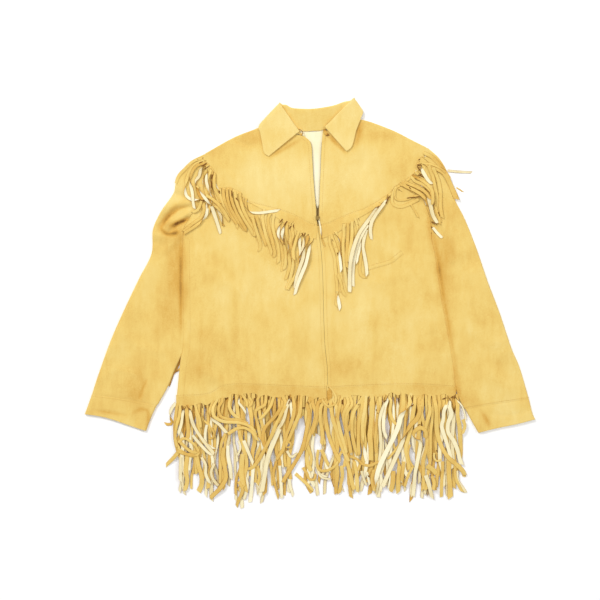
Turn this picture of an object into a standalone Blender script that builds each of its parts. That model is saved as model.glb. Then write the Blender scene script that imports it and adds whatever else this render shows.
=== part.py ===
"""A fringed deerskin jacket, zipped up and laid flat on its back with the front up.

Lengths here are in millimetres and become metres as each mesh is made. The origin is on the surface
that the jacket lies on, under the middle of it. The collar points to +Y, +Z is up, and left and
right are as seen from above: left is -X.

Each piece is cut from hide: a sheet worked out from its edges, given its thickness by a Solidify
modifier. The back lies flat and curls up at the sides and shoulders to meet the fronts, which lie on
it. Fringe is a plain slab as deep and as wide as the strips reach.
"""

import math

import bmesh
import bpy
import numpy as np

HIDE = 1.5
SEAM_GAP = 0.3
LIE_GAP = 0.5
FRINGE_GAP = 1.3
BODY_TOP = 6.0
EDGE_RADIUS = BODY_TOP / 2

LEFT_SIDE_WRAP = 11.0
RIGHT_SIDE_WRAP = 6.0
SHOULDER_WRAP = 6.0

CUFF_WALL = 2.2
CUFF_LIFT = 0.6
CUFF_GAP = 0.4
COLLAR_WALL = 2.0
BESIDE_BODY = 1.5

HEM_FRINGE_THICK = 3.0
YOKE_FRINGE_THICK = 2.5
LOOSE_STRIP_THICK = 1.5

ZIP_TAPE_WIDE = 10.0
ZIP_TAPE_THICK = 1.2
ZIP_PLAY = 0.5
SLIDER_BODY = (7.0, 10.0, 2.6)
SLIDER_STEM_DROP = 1.6
SLIDER_BEVEL = 0.8
SLIDER_STEM_INSET = 2.4
PULL_WIDE = 4.5
PULL_THICK = 1.4
WELT_WIDE = 7.0
WELT_THICK = 1.0

# The edges of the pieces, seen from above. Every row is x, y.
SHOULDER_LEFT = [(-235, 323), (-165, 362), (-112, 383), (-55, 413)]
NECK_BACK = [(-55, 413), (-44, 398), (-29, 383), (-13, 376), (7, 374), (26, 377), (46, 385), (64, 398), (77, 412)]
SHOULDER_RIGHT = [(77, 412), (111, 401), (133, 395), (185, 375), (224, 355), (260, 337)]
ARMHOLE_LEFT = [(-235, 323), (-234, 301), (-229, 257), (-231, 224), (-246, 208), (-266, 182), (-277, 162)]
ARMHOLE_RIGHT = [(260, 337), (255, 301), (249, 257), (250, 226), (264, 180), (267, 153)]
SIDE_LEFT = [(-277, 162), (-280, 136), (-280, -106), (-284, -122), (-291, -190), (-293, -209)]
SIDE_RIGHT = [(267, 153), (268, 136), (275, 107), (287, 24), (302, -62), (318, -157), (320, -188)]
HEM = [(-293, -209), (-220, -203), (-188, -186), (-44, -187), (39, -190), (88, -187), (233, -183), (320, -188)]

NECK_FRONT_LEFT = [(-55, 413), (-55, 396), (-47, 379), (-31, 368), (-13, 364)]
NECK_FRONT_RIGHT = [(77, 412), (75, 396), (61, 383), (43, 377), (28, 375)]
OPENING_LEFT = [(-13, 364), (1, 350), (5, 315), (7, 280), (10, 240), (13, 207), (14, 184), (17, 166)]
OPENING_RIGHT = [(28, 375), (25, 336), (23, 288), (21, 240), (20, 207), (19.6, 184), (18, 166)]
CENTRE_FRONT = [(17.5, 166), (25, 105), (28, 56), (30, -27), (33, -98), (38, -146), (39, -190)]
YOKE_SEAM_LEFT = [(17.5, 166), (3, 169), (-34, 188), (-66, 200), (-139, 221), (-154, 237), (-176, 248),
                  (-203, 248), (-211, 282), (-222, 298), (-234.3, 308)]
YOKE_SEAM_RIGHT = [(17.5, 166), (35, 169), (71, 184), (95, 194), (119, 202), (174, 235), (189, 250),
                   (200, 259), (232, 283), (234, 296), (242, 312), (257.8, 321)]

SLEEVE_OUTER_LEFT = [(-235, 323), (-263, 308), (-283, 284), (-295, 261), (-299, 241), (-330, 194),
                     (-345, 159), (-348, 107), (-377, 48), (-432, -71), (-465, -160), (-479, -203)]
SLEEVE_INNER_LEFT = [(-277, 162), (-280, 136), (-280, -106), (-286, -122), (-300, -153), (-311, -181),
                     (-329, -214), (-337, -228)]
CUFF_SEAM_LEFT = [(-479, -203), (-408, -213), (-337, -228)]
CUFF_END_LEFT = [(-495, -247), (-460, -252), (-433, -259), (-396, -272), (-360, -284)]
CUFF_OUTER_LEFT = [(-479, -203), (-493, -242), (-495, -247)]
CUFF_INNER_LEFT = [(-337, -228), (-349, -254), (-360, -284)]

SLEEVE_OUTER_RIGHT = [(260, 337), (283, 316), (300, 288), (312, 249), (318, 225), (338, 186), (365, 119),
                      (389, 48), (416, -23), (444, -106), (459, -140), (481, -214)]
SLEEVE_INNER_RIGHT = [(267, 153), (268, 136), (275, 107), (287, 24), (302, -62), (318, -157), (322, -192),
                      (336, -229), (341, -236)]
CUFF_SEAM_RIGHT = [(481, -214), (412, -224), (341, -236)]
CUFF_END_RIGHT = [(495, -258), (458, -268), (410, -278), (370, -288)]
CUFF_OUTER_RIGHT = [(481, -214), (490, -249), (495, -258)]
CUFF_INNER_RIGHT = [(341, -236), (355, -262), (370, -288)]

HEM_FRINGE_ENDS = [(-296, -392), (-272, -419), (-205, -432), (-158, -449), (-90, -428), (-20, -420), (45, -412),
                   (110, -424), (190, -420), (270, -430), (322, -410)]
FRONT_FRINGE_ENDS_LEFT = [(-278, -380), (-150, -415), (-60, -408), (38, -395)]
FRONT_FRINGE_ENDS_RIGHT = [(41, -395), (130, -408), (230, -405), (312, -385)]
YOKE_FRINGE_ENDS_LEFT = [(8, 138), (-12, 42), (-38, 14), (-60, 48), (-106, 108), (-150, 150), (-205, 158),
                         (-252, 186), (-284, 222), (-292, 240)]
YOKE_FRINGE_ENDS_RIGHT = [(38, 128), (60, -6), (80, 24), (120, 62), (140, 142), (168, 196), (215, 200),
                          (266, 150), (292, 142), (308, 222)]
YOKE_FRINGE_TOP_LEFT = YOKE_SEAM_LEFT[1:-1] + [(-238, 306)]
YOKE_FRINGE_TOP_RIGHT = YOKE_SEAM_RIGHT[1:-1] + [(262, 318)]

BACK_STRIP_UPPER = [(301.1, 288), (330, 287), (365, 284)]
BACK_STRIP_LOWER = [(311.6, 254.6), (341, 241)]
SLEEVE_STRIPS_LEFT = [(-297, -150), (-303.6, -165), (-313.6, -186), (-323, -203)]
STRIP_WIDE = 9.0
NARROW_STRIP_WIDE = 4.0

POCKET_LINE = [(128, 73), (150, 80), (176, 88), (202, 108)]
ZIP_TOP_Y = 352.0
ZIP_SHARE = 0.985
SLIDER_CENTRE = (16.8, 184.0)
PULL_LINE = [(17.4, 178.4), (21, 152), (26, 122)]

# Where the divisions of an edge fall, as shares of its length. They crowd where the form turns.
SHOULDER_SHARES = (0.0, 0.05, 0.25, 0.5, 0.75, 0.95, 1.0)
NECK_SHARES = (0.0, 0.12, 0.3, 0.5, 0.7, 0.88, 1.0)
HEM_SHARES = (0.0, 0.012, 0.06, 0.13, 0.2, 0.28, 0.34, 0.4, 0.46, 0.51, 0.56, 0.61, 0.67, 0.73, 0.8, 0.87, 0.94,
              0.988, 1.0)
ARMHOLE_SHARES = (0.0, 0.02, 0.08, 0.3, 0.55, 0.66, 0.8, 0.92, 1.0)
SIDE_SHARES = (0.0, 0.04, 0.12, 0.3, 0.5, 0.7, 0.85, 0.95, 1.0)
TUBE_SHARES = (0.0, 0.006, 0.02, 0.08, 0.28, 0.64, 0.92, 0.98, 0.994, 1.0)
SLEEVE_ALONG = (0.0, 0.05, 0.1, 0.15, 0.2, 0.26, 0.34, 0.46, 0.6, 0.74, 0.88, 1.0)
CUFF_ALONG = (0.0, 0.5, 1.0)
SETTLES_WITHIN = 0.16
ROWS_BELOW_YOKE = 2

# How many steps a piece is divided into.
RIM_STEPS = 5
NECK_STEPS = 4
OPENING_STEPS = 6
ZIP_STEPS = 8
STRIP_STEPS = 6
HEM_FRINGE_ROWS = 3
YOKE_FRINGE_ROWS = 5
YOKE_FRINGE_COLUMNS = 14
ROLL_STEPS = 5
FALL_SHARES = (0.3, 0.65, 1.0)
MERGE_WITHIN = 0.01

# The largest folds: ridges, and troughs where the rise is negative. Every row is the line's two ends,
# its half width and its rise.
FOLDS = [
    # x1, y1, x2, y2, half width, rise
    (-290, 262, -250, 250, 22, 1.6),
    (-330, 206, -268, 214, 16, 3.6),
    (-326, 180, -276, 184, 9, -1.0),
    (-340, 148, -300, 152, 15, 4.0),
    (-352, 80, -428, -90, 26, 3.0),
    (-312, 110, -312, -60, 14, -0.8),
    (-440, -110, -400, -190, 20, 1.6),
    (302, 190, 330, 110, 20, 2.6),
    (360, 60, 420, -110, 26, 3.0),
    (290, 110, 312, -40, 12, -0.6),
    (400, -160, 440, -190, 18, 1.4),
    (-225, 60, -215, -90, 34, 1.4),
    (-236, -150, -180, -184, 12, 1.2),
    (-90, -20, -70, -150, 30, 1.2),
    (110, -20, 120, -150, 34, 1.4),
    (225, 90, 262, -120, 30, 1.6),
    (-150, 330, -60, 270, 26, 1.2),
    (120, 340, 190, 300, 26, 1.2),
]

# The collar, round the neck from its left front end to its right one. At each place the stand rises
# from the neck seam to the roll and the fall turns over to its edge. The turn is 0 where the fall lies
# on the stand, 180 where it lies under it, and the space is between the middles of the two.
COLLAR = [
    # neck x, y, z, roll x, y, z, edge x, y, z, turn, space
    (-15, 366, 5.2, -25, 375, 6.2, -91, 319, 8.6, 0, 3.6),
    (-31, 370, 5.2, -36, 390, 6.4, -101, 327, 8.6, 0, 3.6),
    (-45, 381, 5.2, -48, 408, 6.6, -105, 348, 8.4, 0, 3.8),
    (-51, 397, 5.2, -57, 421, 7.4, -109, 369, 8.4, 20, 4.2),
    (-51, 418, 4.2, -64, 434.4, 8.6, -111, 388, 8.4, 75, 5.0),
    (-46, 409, 2.2, -60, 431, 9.0, -73, 419, 1.4, 135, 5.6),
    (-41, 400, 1.2, -52, 431, 8.8, -51, 423, 1.1, 165, 6.4),
    (-27, 386, 1.0, -40, 425, 8.4, -36, 405, 1.1, 180, 6.4),
    (-12, 379, 1.0, -18, 423, 8.2, -15, 394, 1.1, 180, 6.4),
    (7, 377, 1.0, 7, 423, 8.2, 7, 392, 1.1, 180, 6.4),
    (26, 380, 1.0, 31, 426, 8.2, 28, 396, 1.1, 180, 6.4),
    (44, 388, 1.0, 55, 431, 8.4, 50, 406, 1.1, 180, 6.4),
    (61, 401, 1.2, 75, 438, 8.8, 70, 421, 1.1, 165, 6.4),
    (69, 409, 2.2, 86, 439, 9.0, 89, 426, 1.4, 135, 5.6),
    (74, 417, 4.2, 94, 445.3, 8.6, 115, 420, 6.0, 75, 5.0),
    (71, 397, 5.2, 81, 432, 7.4, 111, 401, 8.4, 20, 4.2),
    (59, 385, 5.2, 65, 416, 6.6, 101, 375, 8.4, 0, 3.8),
    (43, 380, 5.2, 48, 398, 6.4, 92, 341, 8.6, 0, 3.6),
    (30, 378, 5.2, 34, 384, 6.2, 80, 330, 8.6, 0, 3.6),
]
NECK_MIDDLE = (8.0, 400.0)

# Base colour, roughness and metallic of each material.
FINISHES = {
    "deerskin": ((0.76, 0.52, 0.21, 1.0), 0.9, 0.0),
    "deerskin_fringe": ((0.80, 0.58, 0.27, 1.0), 0.9, 0.0),
    "zip_tape": ((0.45, 0.32, 0.15, 1.0), 0.85, 0.0),
    "zip_metal": ((0.62, 0.50, 0.30, 1.0), 0.4, 1.0),
}


def clear_scene():
    for obj in list(bpy.data.objects):
        bpy.data.objects.remove(obj)


def material(name):
    if name not in bpy.data.materials:
        made = bpy.data.materials.new(name)
        made.use_nodes = True
        shader = made.node_tree.nodes["Principled BSDF"]
        colour, roughness, metallic = FINISHES[name]
        shader.inputs["Base Color"].default_value = colour
        shader.inputs["Roughness"].default_value = roughness
        shader.inputs["Metallic"].default_value = metallic
    return bpy.data.materials[name]


def curve_through(points, steps=12):
    """A smooth line through the points, close enough to read shares of its length from."""
    p = np.array(points, float)
    p = np.vstack([2 * p[0] - p[1], p, 2 * p[-1] - p[-2]])
    made = []
    for a, b, c, d in zip(p[:-3], p[1:-2], p[2:-1], p[3:]):
        for t in np.linspace(0, 1, steps, endpoint=False):
            made.append(0.5 * (2 * b + (c - a) * t + (2 * a - 5 * b + 4 * c - d) * t**2
                               + (3 * b - a - 3 * c + d) * t**3))
    made.append(p[-2])
    return np.array(made)


def at_shares(line, shares):
    """The points of a line of straight pieces at these shares of its length."""
    line = np.array(line, float)
    reach = np.concatenate([[0], np.cumsum(np.linalg.norm(np.diff(line, axis=0), axis=1))])
    wanted = np.array(shares) * reach[-1]
    return np.stack([np.interp(wanted, reach, line[:, k]) for k in range(line.shape[1])], axis=1)


def edge(points, shares):
    return at_shares(curve_through(points), shares)


def even(count):
    return np.linspace(0, 1, count + 1)


def moved_sideways(line, distance):
    """The line moved to its left by the distance, with its corners kept."""
    line = np.array(line, float)
    runs = np.diff(line, axis=0)
    runs /= np.linalg.norm(runs, axis=1, keepdims=True)
    sides = np.stack([-runs[:, 1], runs[:, 0]], axis=1)
    before = np.vstack([sides[:1], sides])
    after = np.vstack([sides, sides[-1:]])
    middle = before + after
    middle /= np.maximum(1 + np.sum(before * after, axis=1, keepdims=True), 0.4)
    return line + middle * np.reshape(distance, (-1, 1))


def halved(line):
    """The line with a point added in the middle of each piece."""
    line = np.array(line, float)
    made = np.empty((2 * len(line) - 1, line.shape[1]))
    made[::2] = line
    made[1::2] = (line[:-1] + line[1:]) / 2
    return made


def shares_of(line):
    reach = np.concatenate([[0], np.cumsum(np.linalg.norm(np.diff(line, axis=0), axis=1))])
    return reach / reach[-1]


def patch(top, bottom, left, right):
    """The points between four edges: top and bottom run left to right, left and right top to bottom."""
    u = ((shares_of(top) + shares_of(bottom)) / 2)[None, :, None]
    v = ((shares_of(left) + shares_of(right)) / 2)[:, None, None]
    across = (1 - u) * left[:, None] + u * right[:, None]
    down = (1 - v) * top[None] + v * bottom[None]
    corners = (1 - v) * ((1 - u) * top[0] + u * top[-1]) + v * ((1 - u) * bottom[0] + u * bottom[-1])
    return across + down - corners


def straightening(top, bottom, left, right, along):
    """The points between four edges, with rows that keep the shape of the top and the bottom only near them."""
    u = ((shares_of(top) + shares_of(bottom)) / 2)[None, :, None]
    v = np.array(along)[:, None, None]
    rows = (1 - u) * left[:, None] + u * right[:, None]
    for line, nearness in ((top, 1 - v / SETTLES_WITHIN), (bottom, 1 - (1 - v) / SETTLES_WITHIN)):
        bulge = line[None] - (1 - u) * line[0] - u * line[-1]
        rows = rows + np.clip(nearness, 0, 1) * bulge
    return rows


def ruled(top, bottom, rows):
    share = even(rows)[:, None, None]
    return (1 - share) * top[None] + share * bottom[None]


def top_height(x, y):
    """How high the upper layer of the jacket lies, with its largest folds."""
    height = np.full(np.shape(x), BODY_TOP)
    for x1, y1, x2, y2, half_width, rise in FOLDS:
        run = np.array([x2 - x1, y2 - y1], float)
        share = ((x - x1) * run[0] + (y - y1) * run[1]) / (run @ run)
        beyond = np.hypot(x - x1 - np.clip(share, 0, 1) * run[0], y - y1 - np.clip(share, 0, 1) * run[1])
        height = height + rise * np.exp(-((beyond / half_width) ** 2))
    return height


def raised(plan, above):
    """Points over a plan, this much above the jacket's upper layer."""
    return np.concatenate([plan, (top_height(plan[..., 0], plan[..., 1]) + above)[..., None]], axis=-1)


def at_level(plan, level):
    return np.concatenate([plan, np.full(plan.shape[:-1] + (1,), float(level))], axis=-1)


def grid_of(points):
    """A bmesh sheet with these rows of points, and its vertices in the same rows."""
    rows, columns = points.shape[:2]
    sheet = bmesh.new()
    bmesh.ops.create_grid(sheet, x_segments=columns - 1, y_segments=rows - 1, size=1)
    sheet.verts.ensure_lookup_table()
    grid = [[sheet.verts[r * columns + c] for c in range(columns)] for r in range(rows)]
    for row, places in zip(grid, points):
        for vert, place in zip(row, places):
            vert.co = place
    return sheet, grid


def face_up(sheet, up=1):
    """Turns the sheet so that its outer side faces up, or down where up is -1."""
    sheet.normal_update()
    if sum(face.normal.z * face.calc_area() for face in sheet.faces) * up < 0:
        bmesh.ops.reverse_faces(sheet, faces=sheet.faces)


def to_object(name, sheet, finish, wall):
    """Makes the sheet an object in metres, with a wall on its inner side."""
    bmesh.ops.scale(sheet, vec=(0.001, 0.001, 0.001), verts=sheet.verts)
    mesh = bpy.data.meshes.new(name)
    sheet.to_mesh(mesh)
    sheet.free()
    mesh.shade_smooth()
    mesh.materials.append(material(finish))
    obj = bpy.data.objects.new(name, mesh)
    bpy.context.collection.objects.link(obj)
    if wall:
        thick = obj.modifiers.new("hide", "SOLIDIFY")
        thick.thickness = wall / 1000
        thick.offset = -1.0
    return obj


def panel(name, points, finish="deerskin", wall=HIDE):
    """A piece that lies in the upper layer or on it, from its points on top."""
    sheet, _ = grid_of(points)
    face_up(sheet)
    return to_object(name, sheet, finish, wall)


def tube(name, plan, finish, wall, extra=0.0):
    """A flattened tube over a plan whose rows run across it: flat below, folded round at both edges."""
    height = top_height(plan[..., 0], plan[..., 1]) + extra
    widths = np.linalg.norm(np.diff(plan, axis=1), axis=2)
    reach = np.concatenate([np.zeros((len(plan), 1)), np.cumsum(widths, axis=1)], axis=1)
    inside = np.minimum(reach, reach[:, -1:] - reach)
    half = height / 2
    turn = np.sqrt(np.maximum(half**2 - np.maximum(half - inside, 0) ** 2, 0))
    above = np.concatenate([plan, (half + turn)[..., None]], axis=2)
    below = np.concatenate([plan, (half - turn)[..., None]], axis=2)
    ring = np.concatenate([above, below[:, -2:0:-1], above[:, :1]], axis=1)
    sheet, _ = grid_of(ring)
    bmesh.ops.remove_doubles(sheet, verts=sheet.verts, dist=MERGE_WITHIN)
    sheet.normal_update()
    facing = [face.normal.z * face.calc_area() * (face.calc_center_median().z - BODY_TOP / 2)
              for face in sheet.faces]
    if sum(facing) < 0:
        bmesh.ops.reverse_faces(sheet, faces=sheet.faces)
    return to_object(name, sheet, finish, wall)


def body_outline():
    """The back's outline, anticlockwise from its left hem corner, with how far each point curls up."""
    hem = edge(HEM, HEM_SHARES)
    right = np.vstack([edge(SIDE_RIGHT, SIDE_SHARES)[::-1], edge(ARMHOLE_RIGHT, ARMHOLE_SHARES)[::-1][1:]])
    top = np.vstack([edge(SHOULDER_RIGHT, SHOULDER_SHARES)[::-1], edge(NECK_BACK, NECK_SHARES)[::-1][1:],
                     edge(SHOULDER_LEFT, SHOULDER_SHARES)[::-1][1:]])
    left = np.vstack([edge(ARMHOLE_LEFT, ARMHOLE_SHARES), edge(SIDE_LEFT, SIDE_SHARES)[1:]])
    flat_hem = [0.0] * (len(HEM_SHARES) - 2)
    side = [1.0] * (len(SIDE_SHARES) - 1)
    armhole = [0.0] * len(ARMHOLE_SHARES)
    shoulder = [1.0] * (len(SHOULDER_SHARES) - 2)
    neck = [0.0] * len(NECK_SHARES)
    curls = (side[:1] + flat_hem + side + armhole + shoulder + neck + shoulder + armhole + side[:-1])
    wraps = ([LEFT_SIDE_WRAP] + [0.0] * len(flat_hem) + [RIGHT_SIDE_WRAP] * len(side) + armhole
             + [SHOULDER_WRAP] * len(shoulder) + neck + [SHOULDER_WRAP] * len(shoulder) + armhole
             + [LEFT_SIDE_WRAP] * (len(side) - 1))
    return hem, right, top, left, np.array(curls), np.array(wraps)


def inward(loop, distance):
    """A closed anticlockwise loop, each point moved in by its own distance."""
    around = np.vstack([loop[-1:], loop, loop[:1]])
    runs = np.diff(around, axis=0)
    runs /= np.linalg.norm(runs, axis=1, keepdims=True)
    sides = np.stack([-runs[:, 1], runs[:, 0]], axis=1)
    before, after = sides[:-1], sides[1:]
    middle = (before + after) / np.maximum(1 + np.sum(before * after, axis=1, keepdims=True), 0.6)
    return loop + middle * np.reshape(distance, (-1, 1))


def back_panel(parts):
    """The back: a flat sheet whose edge rolls up and over at the sides and the shoulders."""
    hem, right, top, left, curls, wraps = parts
    loop = np.vstack([hem[:-1], right[:-1], top[:-1], left[:-1]])
    floor = inward(loop, EDGE_RADIUS)
    ends = np.cumsum([0, len(hem) - 1, len(right) - 1, len(top) - 1, len(left) - 1])
    sides = [np.vstack([floor, floor[:1]])[a:b + 1] for a, b in zip(ends[:-1], ends[1:])]
    plan = patch(sides[2][::-1], sides[0], sides[3], sides[1][::-1])
    sheet, grid = grid_of(at_level(plan, 0))
    rim = ([vert for vert in grid[-1][:-1]] + [row[-1] for row in grid[:0:-1]]
           + grid[0][:0:-1] + [row[0] for row in grid[:-1]])
    tops = top_height(loop[:, 0], loop[:, 1])
    for step in range(1, RIM_STEPS + 1):
        flat_in = EDGE_RADIUS * (1 - step / RIM_STEPS)
        angle = math.pi * min(step / (RIM_STEPS - 1), 1)
        rolled_in = EDGE_RADIUS * (1 - math.sin(angle)) if step < RIM_STEPS else wraps
        rolled_up = tops / 2 * (1 - math.cos(angle))
        places = inward(loop, curls * rolled_in + (1 - curls) * flat_in)
        levels = curls * rolled_up
        edges = [sheet.edges.get((a, b)) for a, b in zip(rim, rim[1:] + rim[:1])]
        grown = bmesh.ops.extrude_edge_only(sheet, edges=edges)["geom"]
        fresh = {vert for vert in grown if isinstance(vert, bmesh.types.BMVert)}
        rim = [next(e.other_vert(vert) for e in vert.link_edges if e.other_vert(vert) in fresh) for vert in rim]
        for vert, place, level in zip(rim, places, levels):
            vert.co = (place[0], place[1], level)
    face_up(sheet, up=-1)
    return to_object("back_panel", sheet, "deerskin", HIDE)


def upper_edges(parts):
    """The lines where the upper pieces meet the back's rolled edge and the sleeves."""
    hem, right, top, left, curls, wraps = parts
    loop = np.vstack([hem[:-1], right[:-1], top[:-1], left[:-1]])
    line = inward(loop, curls * wraps + SEAM_GAP)
    ends = np.cumsum([0, len(hem) - 1, len(right) - 1, len(top) - 1, len(left) - 1])
    closed = np.vstack([line, line[:1]])
    bottom, right_up, top_back, left_down = [closed[a:b + 1] for a, b in zip(ends[:-1], ends[1:])]
    return bottom, right_up[::-1], top_back[::-1], left_down


def closing(top, bottom, left, right):
    """The patch between four edges whose ends are first made to meet, on the left and right ones."""
    top, bottom = top.copy(), bottom.copy()
    top[0], top[-1] = left[0], right[0]
    bottom[0], bottom[-1] = left[-1], right[-1]
    return patch(top, bottom, left, right)


def hem_half(outward):
    """The hem of one front, from the centre front out to its corner."""
    line = curve_through(HEM)
    centre_x = CENTRE_FRONT[-1][0]
    half = line[line[:, 0] >= centre_x] if outward > 0 else line[line[:, 0] <= centre_x][::-1]
    return at_shares(half, even(2 * len(SHOULDER_SHARES) - 2))


def front_pieces(parts):
    """Each front, its yoke, and the fringe sewn into the seam between them and under the hem."""
    _, right_down, top_line, left_down = upper_edges(parts)
    count = len(SHOULDER_SHARES)
    sides = [
        # name, outward, shoulder from the neck out, armhole and side down, neck, opening, seam
        ("left", -1, top_line[:count][::-1], left_down, NECK_FRONT_LEFT, OPENING_LEFT, YOKE_SEAM_LEFT),
        ("right", 1, top_line[-count:], right_down, NECK_FRONT_RIGHT, OPENING_RIGHT, YOKE_SEAM_RIGHT),
    ]
    for name, outward, shoulder, down, neck, opening, seam_points in sides:
        shoulder = halved(shoulder)
        seam = edge(seam_points, even(len(shoulder) - 1))
        yoke_seam = moved_sideways(seam, outward * SEAM_GAP / 2)
        front_seam = moved_sideways(seam, -outward * SEAM_GAP / 2)
        beside = np.array((outward * ZIP_PLAY, 0))

        opening_line = edge(opening, even(OPENING_STEPS))
        inner = np.vstack([edge(neck, even(NECK_STEPS)), opening_line[1:]])
        inner[0] = shoulder[0]
        inner[-1] = yoke_seam[0] + beside
        outer = at_shares(down[:ROWS_BELOW_YOKE + 1], even(len(inner) - 1))
        outer[-1] = yoke_seam[-1]
        yoke_seam[-1] = outer[-1]
        panel(f"front_yoke_{name}", raised(closing(shoulder, yoke_seam, inner, outer), 0))

        outer = down[ROWS_BELOW_YOKE:].copy()
        outer[0] = front_seam[-1]
        inner = edge(CENTRE_FRONT, shares_of(outer)) + beside
        inner[0] = front_seam[0] + beside
        hem = hem_half(outward)
        panel(f"front_{name}", raised(closing(front_seam, hem, inner, outer), 0))

        start = hem_half(outward) - (0, SEAM_GAP)
        start[0] += 2 * beside
        start[-1] = (outer[-1][0], start[-1][1])
        ends = edge(FRONT_FRINGE_ENDS_LEFT[::-1] if outward < 0 else FRONT_FRINGE_ENDS_RIGHT, even(len(start) - 1))
        slab = at_level(ruled(start, ends, HEM_FRINGE_ROWS), 2 * HEM_FRINGE_THICK + SEAM_GAP)
        panel(f"hem_fringe_front_{name}", slab, "deerskin_fringe", HEM_FRINGE_THICK)


def hem_fringe_back():
    start = edge(HEM, HEM_SHARES) - (0, SEAM_GAP)
    ends = edge(HEM_FRINGE_ENDS, even(len(start) - 1))
    slab = at_level(ruled(start, ends, HEM_FRINGE_ROWS), HEM_FRINGE_THICK)
    panel("hem_fringe_back", slab, "deerskin_fringe", HEM_FRINGE_THICK)


def yoke_fringe(name, start_points, end_points):
    """The reach of the strips that hang from a yoke seam, on the front and the sleeve below them."""
    start = edge(start_points, even(YOKE_FRINGE_COLUMNS))
    ends = edge(end_points, even(YOKE_FRINGE_COLUMNS))
    points = raised(ruled(start, ends, YOKE_FRINGE_ROWS), YOKE_FRINGE_THICK + FRINGE_GAP)
    panel(name, points, "deerskin_fringe", YOKE_FRINGE_THICK)


def sleeve_and_cuff(name, outward, armhole, meeting, outer, inner, seam, cuff_end, cuff_outer, cuff_inner):
    """A sleeve from its armhole to its cuff. The first points of the armhole, as many as meet it, are its top."""
    body_line = edge(armhole, ARMHOLE_SHARES)
    seam_line = moved_sideways(body_line[:meeting], outward * SEAM_GAP)
    across = np.union1d(np.round(shares_of(seam_line), 3), TUBE_SHARES)
    top = at_shares(seam_line, across)
    bottom = edge(seam, across)
    left = edge(outer, SLEEVE_ALONG)
    right = moved_sideways(edge(list(body_line[meeting - 1:]) + inner[1:], SLEEVE_ALONG), outward * BESIDE_BODY)
    left[0], right[0], right[-1] = top[0], top[-1], bottom[-1]
    tube(f"sleeve_{name}", straightening(top, bottom, left, right, SLEEVE_ALONG), "deerskin", HIDE)

    top = moved_sideways(bottom, outward * CUFF_GAP)
    bottom = edge(cuff_end, across)
    left = edge(cuff_outer, CUFF_ALONG)
    right = edge(cuff_inner, CUFF_ALONG)
    left[0], right[0] = top[0], top[-1]
    tube(f"cuff_{name}", patch(top, bottom, left, right), "deerskin", CUFF_WALL, extra=CUFF_LIFT)


def collar():
    """Stand and fall in one piece round the neck: each row rises from the neck, rolls and falls."""
    rows = []
    for nx, ny, nz, rx, ry, rz, ex, ey, ez, turn, space in COLLAR:
        neck, roll, end = np.array((nx, ny, nz)), np.array((rx, ry, rz)), np.array((ex, ey, ez))
        outward = np.array((rx - NECK_MIDDLE[0], ry - NECK_MIDDLE[1], 0.0))
        outward /= np.linalg.norm(outward)
        angle = math.radians(turn)
        over = math.cos(angle) * np.array((0, 0, 1.0)) + math.sin(angle) * outward
        ahead = (roll - neck) / np.linalg.norm(roll - neck)
        start = roll - ahead * space / 2
        middle = start + over * space / 2
        around = [middle + space / 2 * (math.sin(t) * ahead - math.cos(t) * over)
                  for t in np.linspace(0, math.pi, ROLL_STEPS)]
        fall = [around[-1] + (end - around[-1]) * share for share in FALL_SHARES]
        rows.append([neck, neck + (start - neck) * 0.5] + around + fall)
    sheet, _ = grid_of(np.array(rows))
    face_up(sheet)
    made = to_object("collar", sheet, "deerskin", COLLAR_WALL)
    made.modifiers["hide"].offset = 0.0


def strip(name, line, left, right, level, finish, wall):
    """A narrow piece along a line, from left to right of it. A level of None lies on the upper layer."""
    line = np.array(line, float)
    plan = np.stack([moved_sideways(line, left), moved_sideways(line, right)], axis=1)
    points = raised(plan, LIE_GAP + wall) if level is None else at_level(plan, level)
    panel(name, points, finish, wall)


def zip_pieces():
    """The two tapes under the fronts' edges, the slider between them and the thong that pulls it."""
    centre = edge(CENTRE_FRONT, even(ZIP_STEPS) * ZIP_SHARE)[::-1]
    sides = [("left", OPENING_LEFT, 1), ("right", OPENING_RIGHT, -1)]
    for name, opening, outward in sides:
        opening = curve_through(opening)
        opening = opening[opening[:, 1] < ZIP_TOP_Y][::-1]
        line = np.vstack([centre[:-1], at_shares(opening, even(OPENING_STEPS))])
        inner = moved_sideways(line, outward * SEAM_GAP / 2)
        outer = moved_sideways(line, outward * ZIP_TAPE_WIDE)
        level = BODY_TOP - HIDE - SEAM_GAP
        plan = np.stack([inner, outer], axis=1)
        points = raised(plan, level - BODY_TOP)
        panel(f"zip_tape_{name}", points, "zip_tape", ZIP_TAPE_THICK)

    slider = bmesh.new()
    bmesh.ops.create_cube(slider, size=1)
    bmesh.ops.scale(slider, vec=SLIDER_BODY, verts=slider.verts)
    bmesh.ops.bevel(slider, geom=slider.edges[:], offset=SLIDER_BEVEL, affect="EDGES", segments=2, profile=0.5,
                    material=-1)
    under = BODY_TOP + LIE_GAP + SLIDER_BODY[2] / 2
    bmesh.ops.translate(slider, vec=(*SLIDER_CENTRE, under), verts=slider.verts)
    face = min(slider.faces, key=lambda f: f.calc_center_median().z)
    bmesh.ops.inset_region(slider, faces=[face], thickness=SLIDER_STEM_INSET - SLIDER_BEVEL, use_even_offset=True)
    grown = bmesh.ops.extrude_face_region(slider, geom=[face])["geom"]
    bmesh.ops.delete(slider, geom=[face], context="FACES_ONLY")
    bmesh.ops.translate(slider, vec=(0, 0, -SLIDER_STEM_DROP),
                        verts=[v for v in grown if isinstance(v, bmesh.types.BMVert)])
    bmesh.ops.recalc_face_normals(slider, faces=slider.faces)
    to_object("zip_slider", slider, "zip_metal", 0)
    strip("zip_pull", edge(PULL_LINE, even(STRIP_STEPS)), PULL_WIDE / 2, -PULL_WIDE / 2, None, "deerskin_fringe",
          PULL_THICK)


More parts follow.
